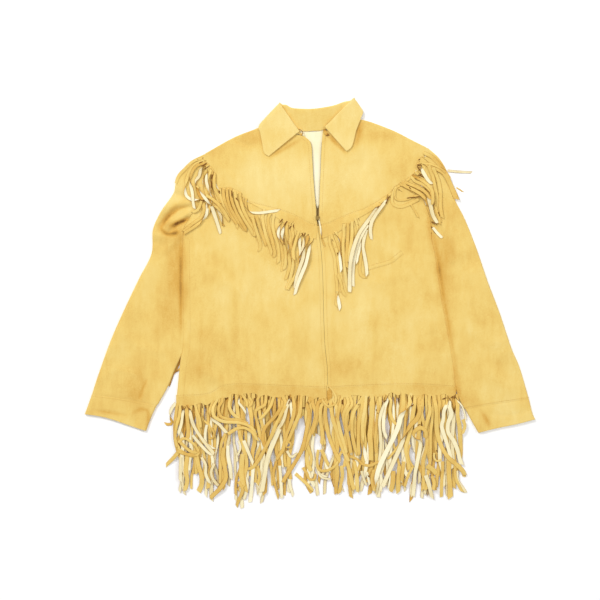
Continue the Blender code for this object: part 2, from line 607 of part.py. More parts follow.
def small_pieces():
    half, narrow = STRIP_WIDE / 2, NARROW_STRIP_WIDE / 2
    level = LOOSE_STRIP_THICK
    rows = [
        # name, line, to its left, to its right, level, finish, wall
        ("pocket_welt", edge(POCKET_LINE, even(STRIP_STEPS)), WELT_WIDE / 2, -WELT_WIDE / 2, None, "deerskin", WELT_THICK),
        ("back_fringe_upper", edge(BACK_STRIP_UPPER, even(STRIP_STEPS)), half, -half, level, "deerskin_fringe", level),
        ("back_fringe_lower", edge(BACK_STRIP_LOWER, even(STRIP_STEPS)), narrow, -narrow, level, "deerskin_fringe", level),
        ("sleeve_fringe_left", edge(SLEEVE_STRIPS_LEFT, even(STRIP_STEPS)), STRIP_WIDE, 0.0, level, "deerskin_fringe", level),
    ]
    for row in rows:
        strip(*row)


def main():
    clear_scene()
    parts = body_outline()
    back_panel(parts)
    front_pieces(parts)
    hem_fringe_back()
    yoke_fringe("yoke_fringe_left", YOKE_FRINGE_TOP_LEFT, YOKE_FRINGE_ENDS_LEFT)
    yoke_fringe("yoke_fringe_right", YOKE_FRINGE_TOP_RIGHT, YOKE_FRINGE_ENDS_RIGHT)
    sleeve_and_cuff("left", -1, ARMHOLE_LEFT, ARMHOLE_SHARES.index(0.66) + 1, SLEEVE_OUTER_LEFT, SLEEVE_INNER_LEFT,
                    CUFF_SEAM_LEFT, CUFF_END_LEFT, CUFF_OUTER_LEFT, CUFF_INNER_LEFT)
    sleeve_and_cuff("right", 1, ARMHOLE_RIGHT, len(ARMHOLE_SHARES), SLEEVE_OUTER_RIGHT, SLEEVE_INNER_RIGHT,
                    CUFF_SEAM_RIGHT, CUFF_END_RIGHT, CUFF_OUTER_RIGHT, CUFF_INNER_RIGHT)
    collar()
    zip_pieces()
    small_pieces()


main()
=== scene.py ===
# %% [markdown]
# # A fringed deerskin jacket, laid flat
# The jacket lies on its back on a pale floor, zipped up, with the camera straight above it. The packed
# CAD model is the frame that every visible piece keeps to: it is loaded first.

# %% Load the CAD model
import math

import bmesh
import bpy
import numpy as np
from mathutils import Matrix


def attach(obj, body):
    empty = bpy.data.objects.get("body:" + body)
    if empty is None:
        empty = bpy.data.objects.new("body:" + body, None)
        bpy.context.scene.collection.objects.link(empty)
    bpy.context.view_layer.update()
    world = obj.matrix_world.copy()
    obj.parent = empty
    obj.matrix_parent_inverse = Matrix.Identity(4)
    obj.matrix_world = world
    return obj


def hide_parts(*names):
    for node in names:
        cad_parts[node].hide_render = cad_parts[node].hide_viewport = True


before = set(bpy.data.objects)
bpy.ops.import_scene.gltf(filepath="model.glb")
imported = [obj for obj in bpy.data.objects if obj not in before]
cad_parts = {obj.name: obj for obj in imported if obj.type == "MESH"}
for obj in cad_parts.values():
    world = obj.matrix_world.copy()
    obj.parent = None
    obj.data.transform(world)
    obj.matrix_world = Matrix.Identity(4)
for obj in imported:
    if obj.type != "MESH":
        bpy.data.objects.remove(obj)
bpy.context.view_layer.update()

# %% [markdown]
# ## The floor, the light and the camera
# The photograph is bright and even: a white sheet, and broad lamps on both sides above it. A large soft
# panel on each side and a pale sky give that, with only short shadows under the collar and the fringe.
# The camera looks straight down from three metres, and one pixel of the picture is 2.2 mm of jacket.

# %% Camera, lamps and floor
MM = 0.001
PIXEL = 2.2
PICTURE = 600
MIDDLE_PIXEL = (310.0, 301.7)
CAMERA_HEIGHT = 3000.0
SENSOR = 36.0
SKY_STRENGTH = 0.42
FLOOR_HALF_SIZE = 4.0
FLOOR_DROP = 0.3

scene = bpy.context.scene
for thing in [thing for thing in scene.objects if thing.type in ("CAMERA", "LIGHT")]:
    bpy.data.objects.remove(thing)

camera_data = bpy.data.cameras.new("camera")
camera_data.sensor_width = SENSOR
camera_data.lens = SENSOR * CAMERA_HEIGHT / (PIXEL * PICTURE)
camera = bpy.data.objects.new("camera", camera_data)
picture_middle = (PICTURE / 2 - MIDDLE_PIXEL[0], MIDDLE_PIXEL[1] - PICTURE / 2)
camera.location = (picture_middle[0] * PIXEL * MM, picture_middle[1] * PIXEL * MM, CAMERA_HEIGHT * MM)
scene.collection.objects.link(camera)
scene.camera = camera

LAMPS = [
    # name, place in metres, size in metres, power in watts
    ("lamp_left", (-3.0, 3.8, 4.4), 1.9, 215.0),
    ("lamp_right", (4.2, 1.6, 4.6), 3.0, 100.0),
    ("lamp_above", (-0.4, 0.4, 5.4), 3.4, 66.0),
]
for name, place, size, power in LAMPS:
    lamp_data = bpy.data.lights.new(name, "AREA")
    lamp_data.size = size
    lamp_data.energy = power
    lamp = bpy.data.objects.new(name, lamp_data)
    lamp.location = place
    lamp.rotation_euler = (-lamp.location).to_track_quat("-Z", "Y").to_euler()
    scene.collection.objects.link(lamp)

world = bpy.data.worlds.new("pale_sky")
world.use_nodes = True
sky = world.node_tree.nodes["Background"].inputs
sky["Color"].default_value = (1.0, 1.0, 1.0, 1.0)
sky["Strength"].default_value = SKY_STRENGTH
scene.world = world
scene.view_settings.view_transform = "Standard"

floor_sheet = bmesh.new()
bmesh.ops.create_grid(floor_sheet, x_segments=1, y_segments=1, size=FLOOR_HALF_SIZE)
bmesh.ops.translate(floor_sheet, vec=(0, 0, -FLOOR_DROP * MM), verts=floor_sheet.verts)
floor_mesh = bpy.data.meshes.new("floor")
floor_sheet.to_mesh(floor_mesh)
floor_sheet.free()
floor = bpy.data.objects.new("floor", floor_mesh)
scene.collection.objects.link(floor)
print("camera lens, mm:", round(camera_data.lens, 1))

# %% [markdown]
# ## The finishes
# The hide is deerskin with its nap raised, as suede has: a soft gold that turns darker where the nap
# lies the other way, with faint blotches from the dressing of the skin. The inner side of the hide is
# undyed and cream. Real grain is too small to show at this size, so it is drawn a little coarser. The zip
# gives a dull glint of brass between matt cotton tapes, and the waxed thread a faint line along the seams.

# %% Helpers for materials
def linear(hex_colour):
    """An sRGB colour, written as hex, as the linear RGBA that a shader takes."""
    parts = [int(hex_colour[i:i + 2], 16) / 255 for i in (0, 2, 4)]
    return [p / 12.92 if p <= 0.04045 else ((p + 0.055) / 1.055) ** 2.4 for p in parts] + [1.0]


def per_metre(size_mm):
    """The scale of a pattern whose features are this many millimetres across."""
    return 1000 / size_mm


def add_node(tree, kind, inputs=None, **settings):
    """Adds a node, sets it, and gives its inputs values or links from other nodes' sockets."""
    node = tree.nodes.new(kind)
    for name, value in settings.items():
        setattr(node, name, value)
    for name, value in (inputs or {}).items():
        if isinstance(value, bpy.types.NodeSocket):
            tree.links.new(value, node.inputs[name])
        else:
            node.inputs[name].default_value = value
    return node


def new_material(name):
    """A material with the tree of its nodes and its shader."""
    material = bpy.data.materials.new(name)
    material.use_nodes = True
    shader = material.node_tree.nodes["Principled BSDF"]
    return material, material.node_tree, shader


# %% Napped deerskin, gold side and cream side
BLOTCH_WEIGHT, STROKE_WEIGHT, GRAIN_WEIGHT = 0.36, 0.23, 0.29
STROKE_MM, GRAIN_MM = 13.0, 1.6
STROKE_DRAWN_OUT = 0.3
TONE_STOPS = (0.0, 0.2, 0.44, 0.74)


def napped(name, colours, blotch_mm, bump_mm, sheen):
    """Suede: four tones mixed by large blotches, brushed strokes, a fine nap and the painted tone: wear,
    painted shade and painted highlights.
    """
    material, tree, shader = new_material(name)
    place = add_node(tree, "ShaderNodeTexCoord").outputs["Object"]
    squeezed = add_node(tree, "ShaderNodeMapping", {"Vector": place, "Scale": (1.0, STROKE_DRAWN_OUT, 1.0)})
    patterns = [
        # where it is read, size of its features in mm, detail, roughness, weight
        (place, blotch_mm, 3.0, 0.55, BLOTCH_WEIGHT),
        (squeezed.outputs["Vector"], STROKE_MM, 4.0, 0.6, STROKE_WEIGHT),
        (place, GRAIN_MM, 2.0, 0.5, GRAIN_WEIGHT),
    ]
    tone = add_node(tree, "ShaderNodeAttribute", attribute_name="tone").outputs["Fac"]
    for vector, size_mm, detail, roughness, weight in patterns:
        noise = add_node(tree, "ShaderNodeTexNoise", {"Vector": vector, "Scale": per_metre(size_mm),
                                                      "Detail": detail, "Roughness": roughness})
        pattern = noise.outputs["Fac"]
        tone = add_node(tree, "ShaderNodeMath", {0: pattern, 1: weight, 2: tone},
                        operation="MULTIPLY_ADD").outputs[0]
    ramp = add_node(tree, "ShaderNodeValToRGB", {"Fac": tone})
    stops = ramp.color_ramp.elements
    stops.remove(stops[1])
    stops[0].position, stops[0].color = TONE_STOPS[0], linear(colours[0])
    for position, colour in zip(TONE_STOPS[1:], colours[1:]):
        stops.new(position).color = linear(colour)
    bump = add_node(tree, "ShaderNodeBump", {"Height": pattern, "Strength": 0.35, "Distance": bump_mm * MM})
    tree.links.new(ramp.outputs["Color"], shader.inputs["Base Color"])
    tree.links.new(bump.outputs["Normal"], shader.inputs["Normal"])
    shader.inputs["Roughness"].default_value = 0.92
    shader.inputs["Specular IOR Level"].default_value = 0.2
    shader.inputs["Sheen Weight"].default_value = sheen
    shader.inputs["Sheen Roughness"].default_value = 0.5
    return material


# The colours run from a dark brown, reached by painted deep shade and the shaded cut edges, to brightly lit
# nap.
gold_suede = napped("napped_deerskin_gold", ("7E5220", "D3A148", "E8C771", "F4E09A"), 80.0, 0.5, 0.06)
cream_flesh = napped("deerskin_flesh_side_cream", ("9C7440", "EAD8A4", "F8EEC6", "FFFAE2"), 60.0, 0.4, 0.04)


# %% Zip and thread
def plain_finish(name, colour, roughness, metallic=0.0):
    """A finish of one colour with fine specks as bump."""
    material, tree, shader = new_material(name)
    place = add_node(tree, "ShaderNodeTexCoord").outputs["Object"]
    specks = add_node(tree, "ShaderNodeTexNoise", {"Vector": place, "Scale": per_metre(0.9), "Detail": 2.0})
    bump = add_node(tree, "ShaderNodeBump", {"Height": specks.outputs["Fac"], "Strength": 0.3,
                                             "Distance": 0.1 * MM})
    tree.links.new(bump.outputs["Normal"], shader.inputs["Normal"])
    shader.inputs["Base Color"].default_value = linear(colour)
    shader.inputs["Roughness"].default_value = roughness
    shader.inputs["Metallic"].default_value = metallic
    return material


cotton_tape = plain_finish("cotton_zip_tape", "A08350", 0.9)
dull_brass = plain_finish("dull_brass_teeth", "8C7443", 0.45, 1.0)
waxed_thread = plain_finish("waxed_thread", "D2A24C", 0.7)
white_sheet = plain_finish("white_paper", "FFFFFF", 0.9)
floor.data.materials.append(white_sheet)

# %% [markdown]
# ## Lines and sheets
# Every piece of the jacket was cut from hide by its edges. The helpers here draw a smooth line through a
# few points, divide it by shares of its length, and fill the space between four edges with rows of
# points. A grid sheet then takes those points, and a Solidify modifier gives it the hide's thickness.

# %% Helpers for lines
def curve_through(points, steps=12):
    """A smooth line through the points, which doesn't loop where they crowd."""
    p = np.array(points, float)
    p = np.vstack([2 * p[0] - p[1], p, 2 * p[-1] - p[-2]])
    made = []
    for a, b, c, d in zip(p[:-3], p[1:-2], p[2:-1], p[3:]):
        before, here, after = [max(np.linalg.norm(w - v), 1e-6) ** 0.5 for v, w in ((a, b), (b, c), (c, d))]
        start = ((b - a) / before - (c - a) / (before + here) + (c - b) / here) * here
        end = ((c - b) / here - (d - b) / (here + after) + (d - c) / after) * here
        for t in np.linspace(0, 1, steps, endpoint=False):
            made.append((2 * t**3 - 3 * t**2 + 1) * b + (t**3 - 2 * t**2 + t) * start
                        + (3 * t**2 - 2 * t**3) * c + (t**3 - t**2) * end)
    made.append(p[-2])
    return np.array(made)


def reach_of(line):
    """The length of a line up to each of its points."""
    return np.concatenate([[0], np.cumsum(np.linalg.norm(np.diff(line, axis=0), axis=1))])


def shares_of(line):
    """The share of a line's length up to each of its points."""
    reach = reach_of(line)
    return reach / reach[-1]


def at_shares(line, shares):
    """The points of a line of straight pieces at these shares of its length."""
    line = np.array(line, float)
    reach = shares_of(line)
    return np.stack([np.interp(shares, reach, line[:, k]) for k in range(line.shape[1])], axis=1)


def even(count):
    """The shares that divide a length into this many equal parts."""
    return np.linspace(0, 1, count + 1)


def edge(points, count):
    """A smooth line through the points, divided into this many equal parts."""
    return at_shares(curve_through(points), even(count))


def sideways_of(line, least=0.4):
    """The direction to the left of a line at each point, drawn out at its corners."""
    runs = np.diff(line, axis=0)
    runs /= np.maximum(np.linalg.norm(runs, axis=1, keepdims=True), 1e-9)
    sides = np.stack([-runs[:, 1], runs[:, 0]], axis=1)
    before, after = np.vstack([sides[:1], sides]), np.vstack([sides, sides[-1:]])
    return (before + after) / np.maximum(1 + np.sum(before * after, axis=1, keepdims=True), least)


def moved_sideways(line, distance):
    """A line moved to its left, by one distance or by one for each point."""
    line = np.array(line, float)
    return line + sideways_of(line) * np.reshape(distance, (-1, 1))


def patch(top, bottom, left, right):
    """The points between four edges: top and bottom run left to right, left and right top to bottom."""
    u = ((shares_of(top) + shares_of(bottom)) / 2)[None, :, None]
    v = ((shares_of(left) + shares_of(right)) / 2)[:, None, None]
    across = (1 - u) * left[:, None] + u * right[:, None]
    down = (1 - v) * top[None] + v * bottom[None]
    corners = (1 - v) * ((1 - u) * top[0] + u * top[-1]) + v * ((1 - u) * bottom[0] + u * bottom[-1])
    return across + down - corners


def closing(top, bottom, left, right):
    """The patch between four edges whose ends are first made to meet, on the left and right ones."""
    top, bottom = top.copy(), bottom.copy()
    top[0], top[-1] = left[0], right[0]
    bottom[0], bottom[-1] = left[-1], right[-1]
    return patch(top, bottom, left, right)


def relaxed(plan, times):
    """Evens out the rows and columns between the edges of a patch, so that none of them fold over."""
    plan = plan.copy()
    for _ in range(times):
        plan[1:-1, 1:-1] = (plan[:-2, 1:-1] + plan[2:, 1:-1] + plan[1:-1, :-2] + plan[1:-1, 2:]) / 4
    return plan


def straightening(top, bottom, left, right, along, settles_within=0.16):
    """The points between four edges, with rows that keep the shape of the top and bottom only near them."""
    u = ((shares_of(top) + shares_of(bottom)) / 2)[None, :, None]
    v = np.array(along)[:, None, None]
    rows = (1 - u) * left[:, None] + u * right[:, None]
    for line, nearness in ((top, 1 - v / settles_within), (bottom, 1 - (1 - v) / settles_within)):
        bulge = line[None] - (1 - u) * line[0] - u * line[-1]
        rows = rows + np.clip(nearness, 0, 1) * bulge
    return rows


def away_from(x, y, line):
    """How far points lie from a line of straight pieces."""
    nearest = np.full(np.shape(x), np.inf)
    for (x1, y1), (x2, y2) in zip(line[:-1], line[1:]):
        run_x, run_y = x2 - x1, y2 - y1
        share = np.clip(((x - x1) * run_x + (y - y1) * run_y) / (run_x**2 + run_y**2 + 1e-9), 0, 1)
        nearest = np.minimum(nearest, np.hypot(x - x1 - share * run_x, y - y1 - share * run_y))
    return nearest


# %% Helpers for sheets
CUT_EDGE = 0.2
SHARP_EDGE = math.radians(50)


def add_grid(sheet, points):
    """Adds a grid with these rows of points, in mm, to a sheet, and returns its rows of vertices."""
    rows, columns = points.shape[:2]
    before = len(sheet.verts)
    bmesh.ops.create_grid(sheet, x_segments=columns - 1, y_segments=rows - 1, size=1)
    sheet.verts.ensure_lookup_table()
    grid = [[sheet.verts[before + r * columns + c] for c in range(columns)] for r in range(rows)]
    for row, places in zip(grid, points * MM):
        for vert, place in zip(row, places):
            vert.co = place
    return grid


def face_up(sheet, up=1):
    """Turns a sheet so that its outer side faces up, or down where up is -1."""
    sheet.normal_update()
    if sum(face.normal.z * face.calc_area() for face in sheet.faces) * up < 0:
        bmesh.ops.reverse_faces(sheet, faces=sheet.faces)


def face_out(sheet):
    """Turns a closed or nearly closed sheet so that its faces point away from its middle height."""
    sheet.normal_update()
    middle = sum(vert.co.z for vert in sheet.verts) / len(sheet.verts)
    if sum(f.normal.z * f.calc_area() * (f.calc_center_median().z - middle) for f in sheet.faces) < 0:
        bmesh.ops.reverse_faces(sheet, faces=sheet.faces)


def finished(name, sheet, finishes, nodes=(), wall=0.0, offset=-1.0, tones=None):
    """Makes a sheet a piece of the jacket: its finishes, wall and body, and the CAD nodes it stands for."""
    mesh = bpy.data.meshes.new(name)
    sheet.to_mesh(mesh)
    sheet.free()
    mesh.shade_smooth()
    for finish in finishes:
        mesh.materials.append(finish)
    tone = mesh.attributes.new("tone", "FLOAT", "POINT")
    if tones is None:
        tones = painted_tone(*read_places(mesh))
    tone.data.foreach_set("value", np.asarray(tones, np.float32))
    piece = bpy.data.objects.new(name, mesh)
    scene.collection.objects.link(piece)
    if wall:
        thick = piece.modifiers.new("hide", "SOLIDIFY")
        thick.thickness = wall * MM
        thick.offset = offset
        if len(finishes) > 1:
            thick.material_offset = 1
        cut = piece.modifiers.new("cut_edge", "BEVEL")
        cut.width = CUT_EDGE * MM
        cut.segments = 1
        cut.limit_method = "ANGLE"
        cut.angle_limit = SHARP_EDGE
        cut.use_clamp_overlap = False
        cut.harden_normals = True
    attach(piece, "root")
    if nodes:
        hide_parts(*nodes)
    print(name, len(mesh.vertices), "points")
    return piece


def read_places(mesh):
    """The x and the y of a mesh's points, in mm."""
    places = np.empty(len(mesh.vertices) * 3, np.float32)
    mesh.vertices.foreach_get("co", places)
    places = places.reshape(-1, 3) / MM
    return places[:, 0], places[:, 1]


def flat_area(points):
    """The area of a sheet of points in square metres."""
    a, b = points[1:, 1:] - points[:-1, :-1], points[1:, :-1] - points[:-1, 1:]
    doubled = np.linalg.norm(np.cross(a, b), axis=-1).sum()
    return float(doubled * 0.5 * MM * MM)


def with_height(plan, level=0.0):
    """The points of a plan at a level, or each at its own."""
    return np.concatenate([plan, np.broadcast_to(level, plan.shape[:-1])[..., None]], axis=-1)

# %% [markdown]
# ## The pattern of the jacket
# The lines below are the seams and edges of the jacket as they lie, seen from above, in millimetres.
# They are the same lines that the CAD model was drawn from, so each cut piece lies where its solid is.

# %% Edges of the pieces
HIDE = 1.5
SEAM_GAP = 0.3
BODY_TOP = 6.0
EDGE_RADIUS = BODY_TOP / 2
LEFT_SIDE_WRAP = 11.0
RIGHT_SIDE_WRAP = 6.0
SHOULDER_WRAP = 6.0
ZIP_PLAY = 0.12

SHOULDER_LEFT = [(-235, 323), (-165, 362), (-112, 383), (-55, 413)]
NECK_BACK = [(-55, 413), (-44, 398), (-29, 383), (-13, 376), (7, 374), (26, 377), (46, 385), (64, 398),
             (77, 412)]
SHOULDER_RIGHT = [(77, 412), (111, 401), (133, 395), (185, 375), (224, 355), (260, 337)]
ARMHOLE_LEFT = [(-235, 323), (-234, 301), (-229, 257), (-231, 224), (-246, 208), (-266, 182), (-277, 162)]
ARMHOLE_RIGHT = [(260, 337), (255, 301), (249, 257), (250, 226), (264, 180), (267, 153)]
SIDE_LEFT = [(-277, 162), (-280, 136), (-280, -106), (-284, -122), (-291, -190), (-293, -209)]
SIDE_RIGHT = [(267, 153), (268, 136), (275, 107), (287, 24), (302, -62), (318, -157), (320, -188)]
HEM = [(-293, -209), (-220, -203), (-188, -186), (-44, -187), (39, -190), (88, -187), (233, -183),
       (320, -188)]

NECK_FRONT_LEFT = [(-55, 413), (-55, 396), (-47, 379), (-31, 368), (-13, 364)]
NECK_FRONT_RIGHT = [(77, 412), (75, 396), (61, 383), (43, 377), (28, 375)]
OPENING_LEFT = [(-13, 364), (1, 350), (5, 315), (7, 280), (10, 240), (13, 207), (14, 184), (17, 166)]
OPENING_RIGHT = [(28, 375), (25, 336), (23, 288), (21, 240), (20, 207), (19.6, 184), (18, 166)]
CENTRE_FRONT = [(17.5, 166), (25, 105), (28, 56), (30, -27), (33, -98), (38, -146), (39, -190)]
YOKE_SEAM_LEFT = [(17.5, 166), (3, 169), (-34, 188), (-66, 200), (-139, 221), (-154, 237), (-176, 248),
                  (-203, 248), (-211, 282), (-222, 298), (-234.3, 308)]
YOKE_SEAM_RIGHT = [(17.5, 166), (35, 169), (71, 184), (95, 194), (119, 202), (174, 235), (189, 250),
                   (200, 259), (232, 283), (234, 296), (242, 312), (257.8, 321)]

SLEEVE_OUTER_LEFT = [(-235, 323), (-263, 308), (-283, 284), (-295, 261), (-299, 241), (-330, 194),
                     (-345, 159), (-348, 107), (-377, 48), (-432, -71), (-465, -160), (-479, -203)]
SLEEVE_INNER_LEFT = [(-277, 162), (-280, 136), (-280, -106), (-286, -122), (-300, -153), (-311, -181),
                     (-329, -214), (-337, -228)]
CUFF_SEAM_LEFT = [(-479, -203), (-408, -213), (-337, -228)]
CUFF_END_LEFT = [(-495, -247), (-460, -252), (-433, -259), (-396, -272), (-360, -284)]
CUFF_OUTER_LEFT = [(-479, -203), (-493, -242), (-495, -247)]
CUFF_INNER_LEFT = [(-337, -228), (-349, -254), (-360, -284)]

SLEEVE_OUTER_RIGHT = [(260, 337), (283, 316), (300, 288), (312, 249), (318, 225), (338, 186), (365, 119),
                      (389, 48), (416, -23), (444, -106), (459, -140), (481, -214)]
SLEEVE_INNER_RIGHT = [(267, 153), (268, 136), (275, 107), (287, 24), (302, -62), (318, -157), (322, -192),
                      (336, -229), (341, -236)]
CUFF_SEAM_RIGHT = [(481, -214), (412, -224), (341, -236)]
CUFF_END_RIGHT = [(495, -258), (458, -268), (410, -278), (370, -288)]
CUFF_OUTER_RIGHT = [(481, -214), (490, -249), (495, -258)]
CUFF_INNER_RIGHT = [(341, -236), (355, -262), (370, -288)]

# The share of each armhole, from the shoulder down, that the sleeve's top end meets.
LEFT_MEETING, RIGHT_MEETING = 0.57, 0.6

# %% [markdown]
# ## How the hide lies
# The upper layer lies six millimetres above the floor. It is not flat: there are broad folds in the
# sleeves, narrow creases at the armpits, and a slight unevenness everywhere, as soft hide has after it
# is smoothed out by hand. One function gives the height at any place, and every piece follows it.

# %% The height of the upper layer
FOLDS = [
    # points along the fold, its half width, its rise (a trough where it is negative)
    ([(-290, 262), (-250, 250)], 22, 1.6),
    ([(-330, 206), (-268, 214)], 16, 3.2),
    ([(-340, 148), (-300, 152)], 15, 3.6),
    ([(-352, 80), (-428, -90)], 26, 3.0),
    ([(-312, 110), (-312, -60)], 14, -0.8),
    ([(-440, -110), (-400, -190)], 20, 1.6),
    ([(302, 190), (330, 110)], 20, 2.6),
    ([(360, 60), (420, -110)], 26, 3.0),
    ([(290, 110), (312, -40)], 12, -0.6),
    ([(400, -160), (440, -190)], 18, 1.4),
    ([(-225, 60), (-215, -90)], 34, 1.4),
    ([(-236, -150), (-180, -184)], 12, 1.2),
    ([(-90, -20), (-70, -150)], 30, 1.2),
    ([(110, -20), (120, -150)], 34, 1.4),
    ([(225, 90), (262, -120)], 30, 1.6),
    ([(-150, 330), (-60, 270)], 26, 1.2),
    ([(120, 340), (190, 300)], 26, 1.2),
]
CREASES = [
    # points along the crease, its half width, its rise
    ([(-265, 208), (-294, 202), (-330, 166)], 5.0, -3.4),
    ([(-316, 172), (-290, 180), (-266, 194)], 6.0, 2.6),
    ([(-268, 182), (-290, 166), (-307, 156)], 4.5, -4.6),
    ([(-330, 155), (-316, 148), (-294, 146)], 5.0, -3.2),
    ([(-294, 237), (-276, 230), (-258, 220)], 5.0, -1.8),
    ([(-262, 176), (-300, 130), (-318, 112)], 9.0, 1.6),
    ([(-340, 120), (-322, 90), (-316, 20)], 8.0, 1.2),
    ([(-175, 360), (-132, 342)], 4.0, -0.9),
    ([(-200, 300), (-170, 270), (-150, 250)], 7.0, 0.8),
    ([(-250, 110), (-215, 60), (-150, 20)], 12.0, 0.9),
    ([(-262, -40), (-225, -110), (-215, -170)], 9.0, 0.8),
    ([(255, 225), (290, 205), (318, 160)], 8.0, -1.4),
    ([(262, 200), (300, 150), (312, 90)], 6.0, 1.6),
    ([(330, 120), (345, 60), (352, 0)], 8.0, 0.9),
    ([(230, 80), (256, 20), (266, -60)], 9.0, 0.9),
    ([(60, 60), (140, 40), (210, 60)], 12.0, 0.7),
    ([(-30, 80), (-20, -10), (-24, -90)], 10.0, 0.5),
    ([(350, -60), (392, -90), (440, -84)], 10.0, 0.9),
    ([(-420, -60), (-380, -96), (-330, -110)], 10.0, 0.9),
    ([(-470, -180), (-430, -150), (-380, -160)], 8.0, 0.8),
    ([(92, 386), (120, 330), (110, 280)], 12.0, -0.7),
    ([(-60, 300), (-50, 240), (-20, 200)], 9.0, 0.6),
    ([(-352, -168), (-360, -194), (-369, -214)], 4.0, 0.8),
    ([(-360, -172), (-367, -194), (-376, -214)], 3.0, -0.7),
    ([(-472, -239), (-435, -243), (-402, -249)], 2.6, -0.9),
    ([(-397, -231), (-396, -248), (-398, -266)], 4.5, 1.0),
    ([(-378, -236), (-379, -250), (-383, -266)], 3.0, -1.2),
    ([(372, -238), (382, -258), (392, -280)], 3.0, -1.0),
    ([(366, -246), (373, -262), (380, -280)], 4.5, 1.0),
    ([(404, -247), (440, -250), (482, -238)], 2.4, -0.8),
]
RELIEF = [
    # wavelength along x, wavelength along y, phase, rise
    (310.0, -540.0, 0.4, 0.35),
    (-170.0, 260.0, 2.0, 0.25),
    (120.0, 96.0, 4.1, 0.14),
    (-74.0, 150.0, 1.2, 0.10),
    (58.0, -46.0, 3.0, 0.06),
]
LOWEST_TOP = 2.6
SEAM_GROOVE = 0.35
SEAM_GROOVE_HALF_WIDE = 2.6


def surface(x, y):
    """How high the top of the upper layer lies above the floor, in mm."""
    height = np.full(np.shape(x), BODY_TOP)
    for points, half_width, rise in FOLDS + CREASES:
        line = curve_through(points, 4) if len(points) > 2 else np.array(points, float)
        height = height + rise * np.exp(-((away_from(x, y, line) / half_width) ** 2))
    for along_x, along_y, phase, rise in RELIEF:
        height = height + rise * np.sin(2 * math.pi * (x / along_x + y / along_y) + phase)
    return np.maximum(height, LOWEST_TOP)


def groove(x, y, line, depth=SEAM_GROOVE, half_wide=SEAM_GROOVE_HALF_WIDE):
    """How far a seam pulls the hide down beside its line."""
    return -depth * np.exp(-((away_from(x, y, line) / half_wide) ** 2))


def raised(plan, above=0.0, seams=()):
    """Points over a plan, on the upper layer or above it, pulled down beside the seams."""
    x, y = plan[..., 0], plan[..., 1]
    height = surface(x, y) + above
    for line in seams:
        height = height + groove(x, y, line)
    return with_height(plan, height)


# %% Wear, painted shade and painted highlights on the hide
# Patches of wear and of the hide's own tone, with painted light: painted shade at the shoulders, beside the
# collar and where the sleeves meet the body, and painted highlights along the sleeves' fold ridges.
WEAR_AND_PAINTED_LIGHT = [
    # x, y, half width along x, half width along y, change of tone
    (-190, 320, 60, 50, -0.04),
    (-120, 355, 40, 18, -0.10),
    (-150, 290, 60, 50, 0.03),
    (-306, 225, 40, 44, 0.10),
    (-215, 335, 30, 20, -0.06),
    (-320, 160, 50, 50, -0.04),
    (-400, -90, 60, 120, -0.05),
    (-380, -180, 40, 50, -0.04),
    (-450, -230, 50, 40, -0.05),
    (390, 0, 50, 130, 0.03),
    (440, -240, 60, 40, 0.06),
    (330, 160, 40, 60, -0.03),
    (-220, -160, 60, 40, -0.05),
    (260, -160, 50, 40, -0.05),
    (80, 20, 110, 90, 0.07),
    (-120, 30, 100, 100, 0.06),
    (100, 290, 90, 60, 0.10),
    (-60, 270, 100, 60, 0.14),
    (155, 364, 40, 14, -0.13),
    (-350, 70, 24, 70, 0.05),
    (-425, -110, 26, 80, 0.08),
    (290, 60, 24, 80, -0.07),
    (300, 110, 20, 40, -0.08),
    (85, -150, 34, 26, -0.09),
    (-246, -118, 18, 50, -0.03),
    (-162, -80, 14, 50, -0.06),
    (-60, -130, 60, 40, 0.05),
    (200, -120, 60, 50, 0.04),
    (35, -60, 10, 100, -0.03),
]
SHADED_LINES = [
    # points along the line, its half width, change of tone
    ([(-262, 211), (-282, 206), (-307, 189), (-322, 174)], 3.0, -0.20),
    ([(-270, 217), (-292, 209), (-310, 192), (-322, 174), (-329, 164), (-322, 153)], 7.0, -0.24),
    ([(-329, 164), (-318, 151), (-304, 149), (-284, 155)], 4.2, -0.22),
    ([(-264, 184), (-274, 179), (-290, 173), (-306, 165)], 4.2, -0.42),
    ([(-322, 176), (-302, 160), (-282, 162)], 15.0, -0.10),
    ([(-284, 148), (-286, 60), (-284, -30)], 15.0, -0.14),
    ([(-294, 140), (-302, 0), (-330, -110)], 30.0, -0.09),
    ([(-283, 148), (-284, 40), (-284, -104)], 4.0, -0.16),
    ([(271, 150), (279, 107), (291, 24), (306, -62), (322, -157)], 4.5, -0.16),
    ([(-14, 361), (-50, 339), (-90, 314)], 4.0, -0.18),
    ([(33, 371), (56, 348), (81, 324)], 4.0, -0.18),
    ([(112, 394), (108, 360), (96, 334)], 7.0, -0.12),
    ([(-168, 90), (-166, -60), (-174, -170)], 9.0, -0.06),
    ([(138, 20), (143, -80), (147, -172)], 8.0, -0.06),
    ([(54, 40), (51, -80), (48, -180)], 5.0, -0.05),
    ([(-236, 60), (-238, -60), (-242, -170)], 7.0, -0.05),
    ([(268, 150), (282, 100), (296, 30), (306, -60)], 12.0, -0.08),
    ([(-472, -240), (-435, -244), (-402, -250)], 4.0, -0.16),
    ([(-390, -246), (-381, -239), (-361, -237), (-354, -248), (-359, -272)], 4.0, -0.14),
    ([(-356, -167), (-375, -210)], 2.6, -0.12),
    ([(-376, -60), (-378, -146)], 12.0, -0.05),
    ([(375, -239), (385, -255), (399, -277)], 5.0, -0.18),
    ([(317, -120), (323, -190), (343, -232)], 7.0, -0.12),
    ([(256, 320), (274, 314), (290, 298), (298, 284)], 7.0, -0.20),
    ([(252, 235), (262, 190), (270, 120)], 9.0, -0.16),
    ([(-57, 412), (-84, 352), (-90, 310)], 9.0, -0.10),
    ([(-91, 316), (-40, 360), (-22, 366)], 5.0, -0.16),
    ([(84, 326), (60, 352), (40, 376)], 6.0, -0.14),
    ([(112, 400), (92, 336), (84, 326)], 9.0, -0.12),
]


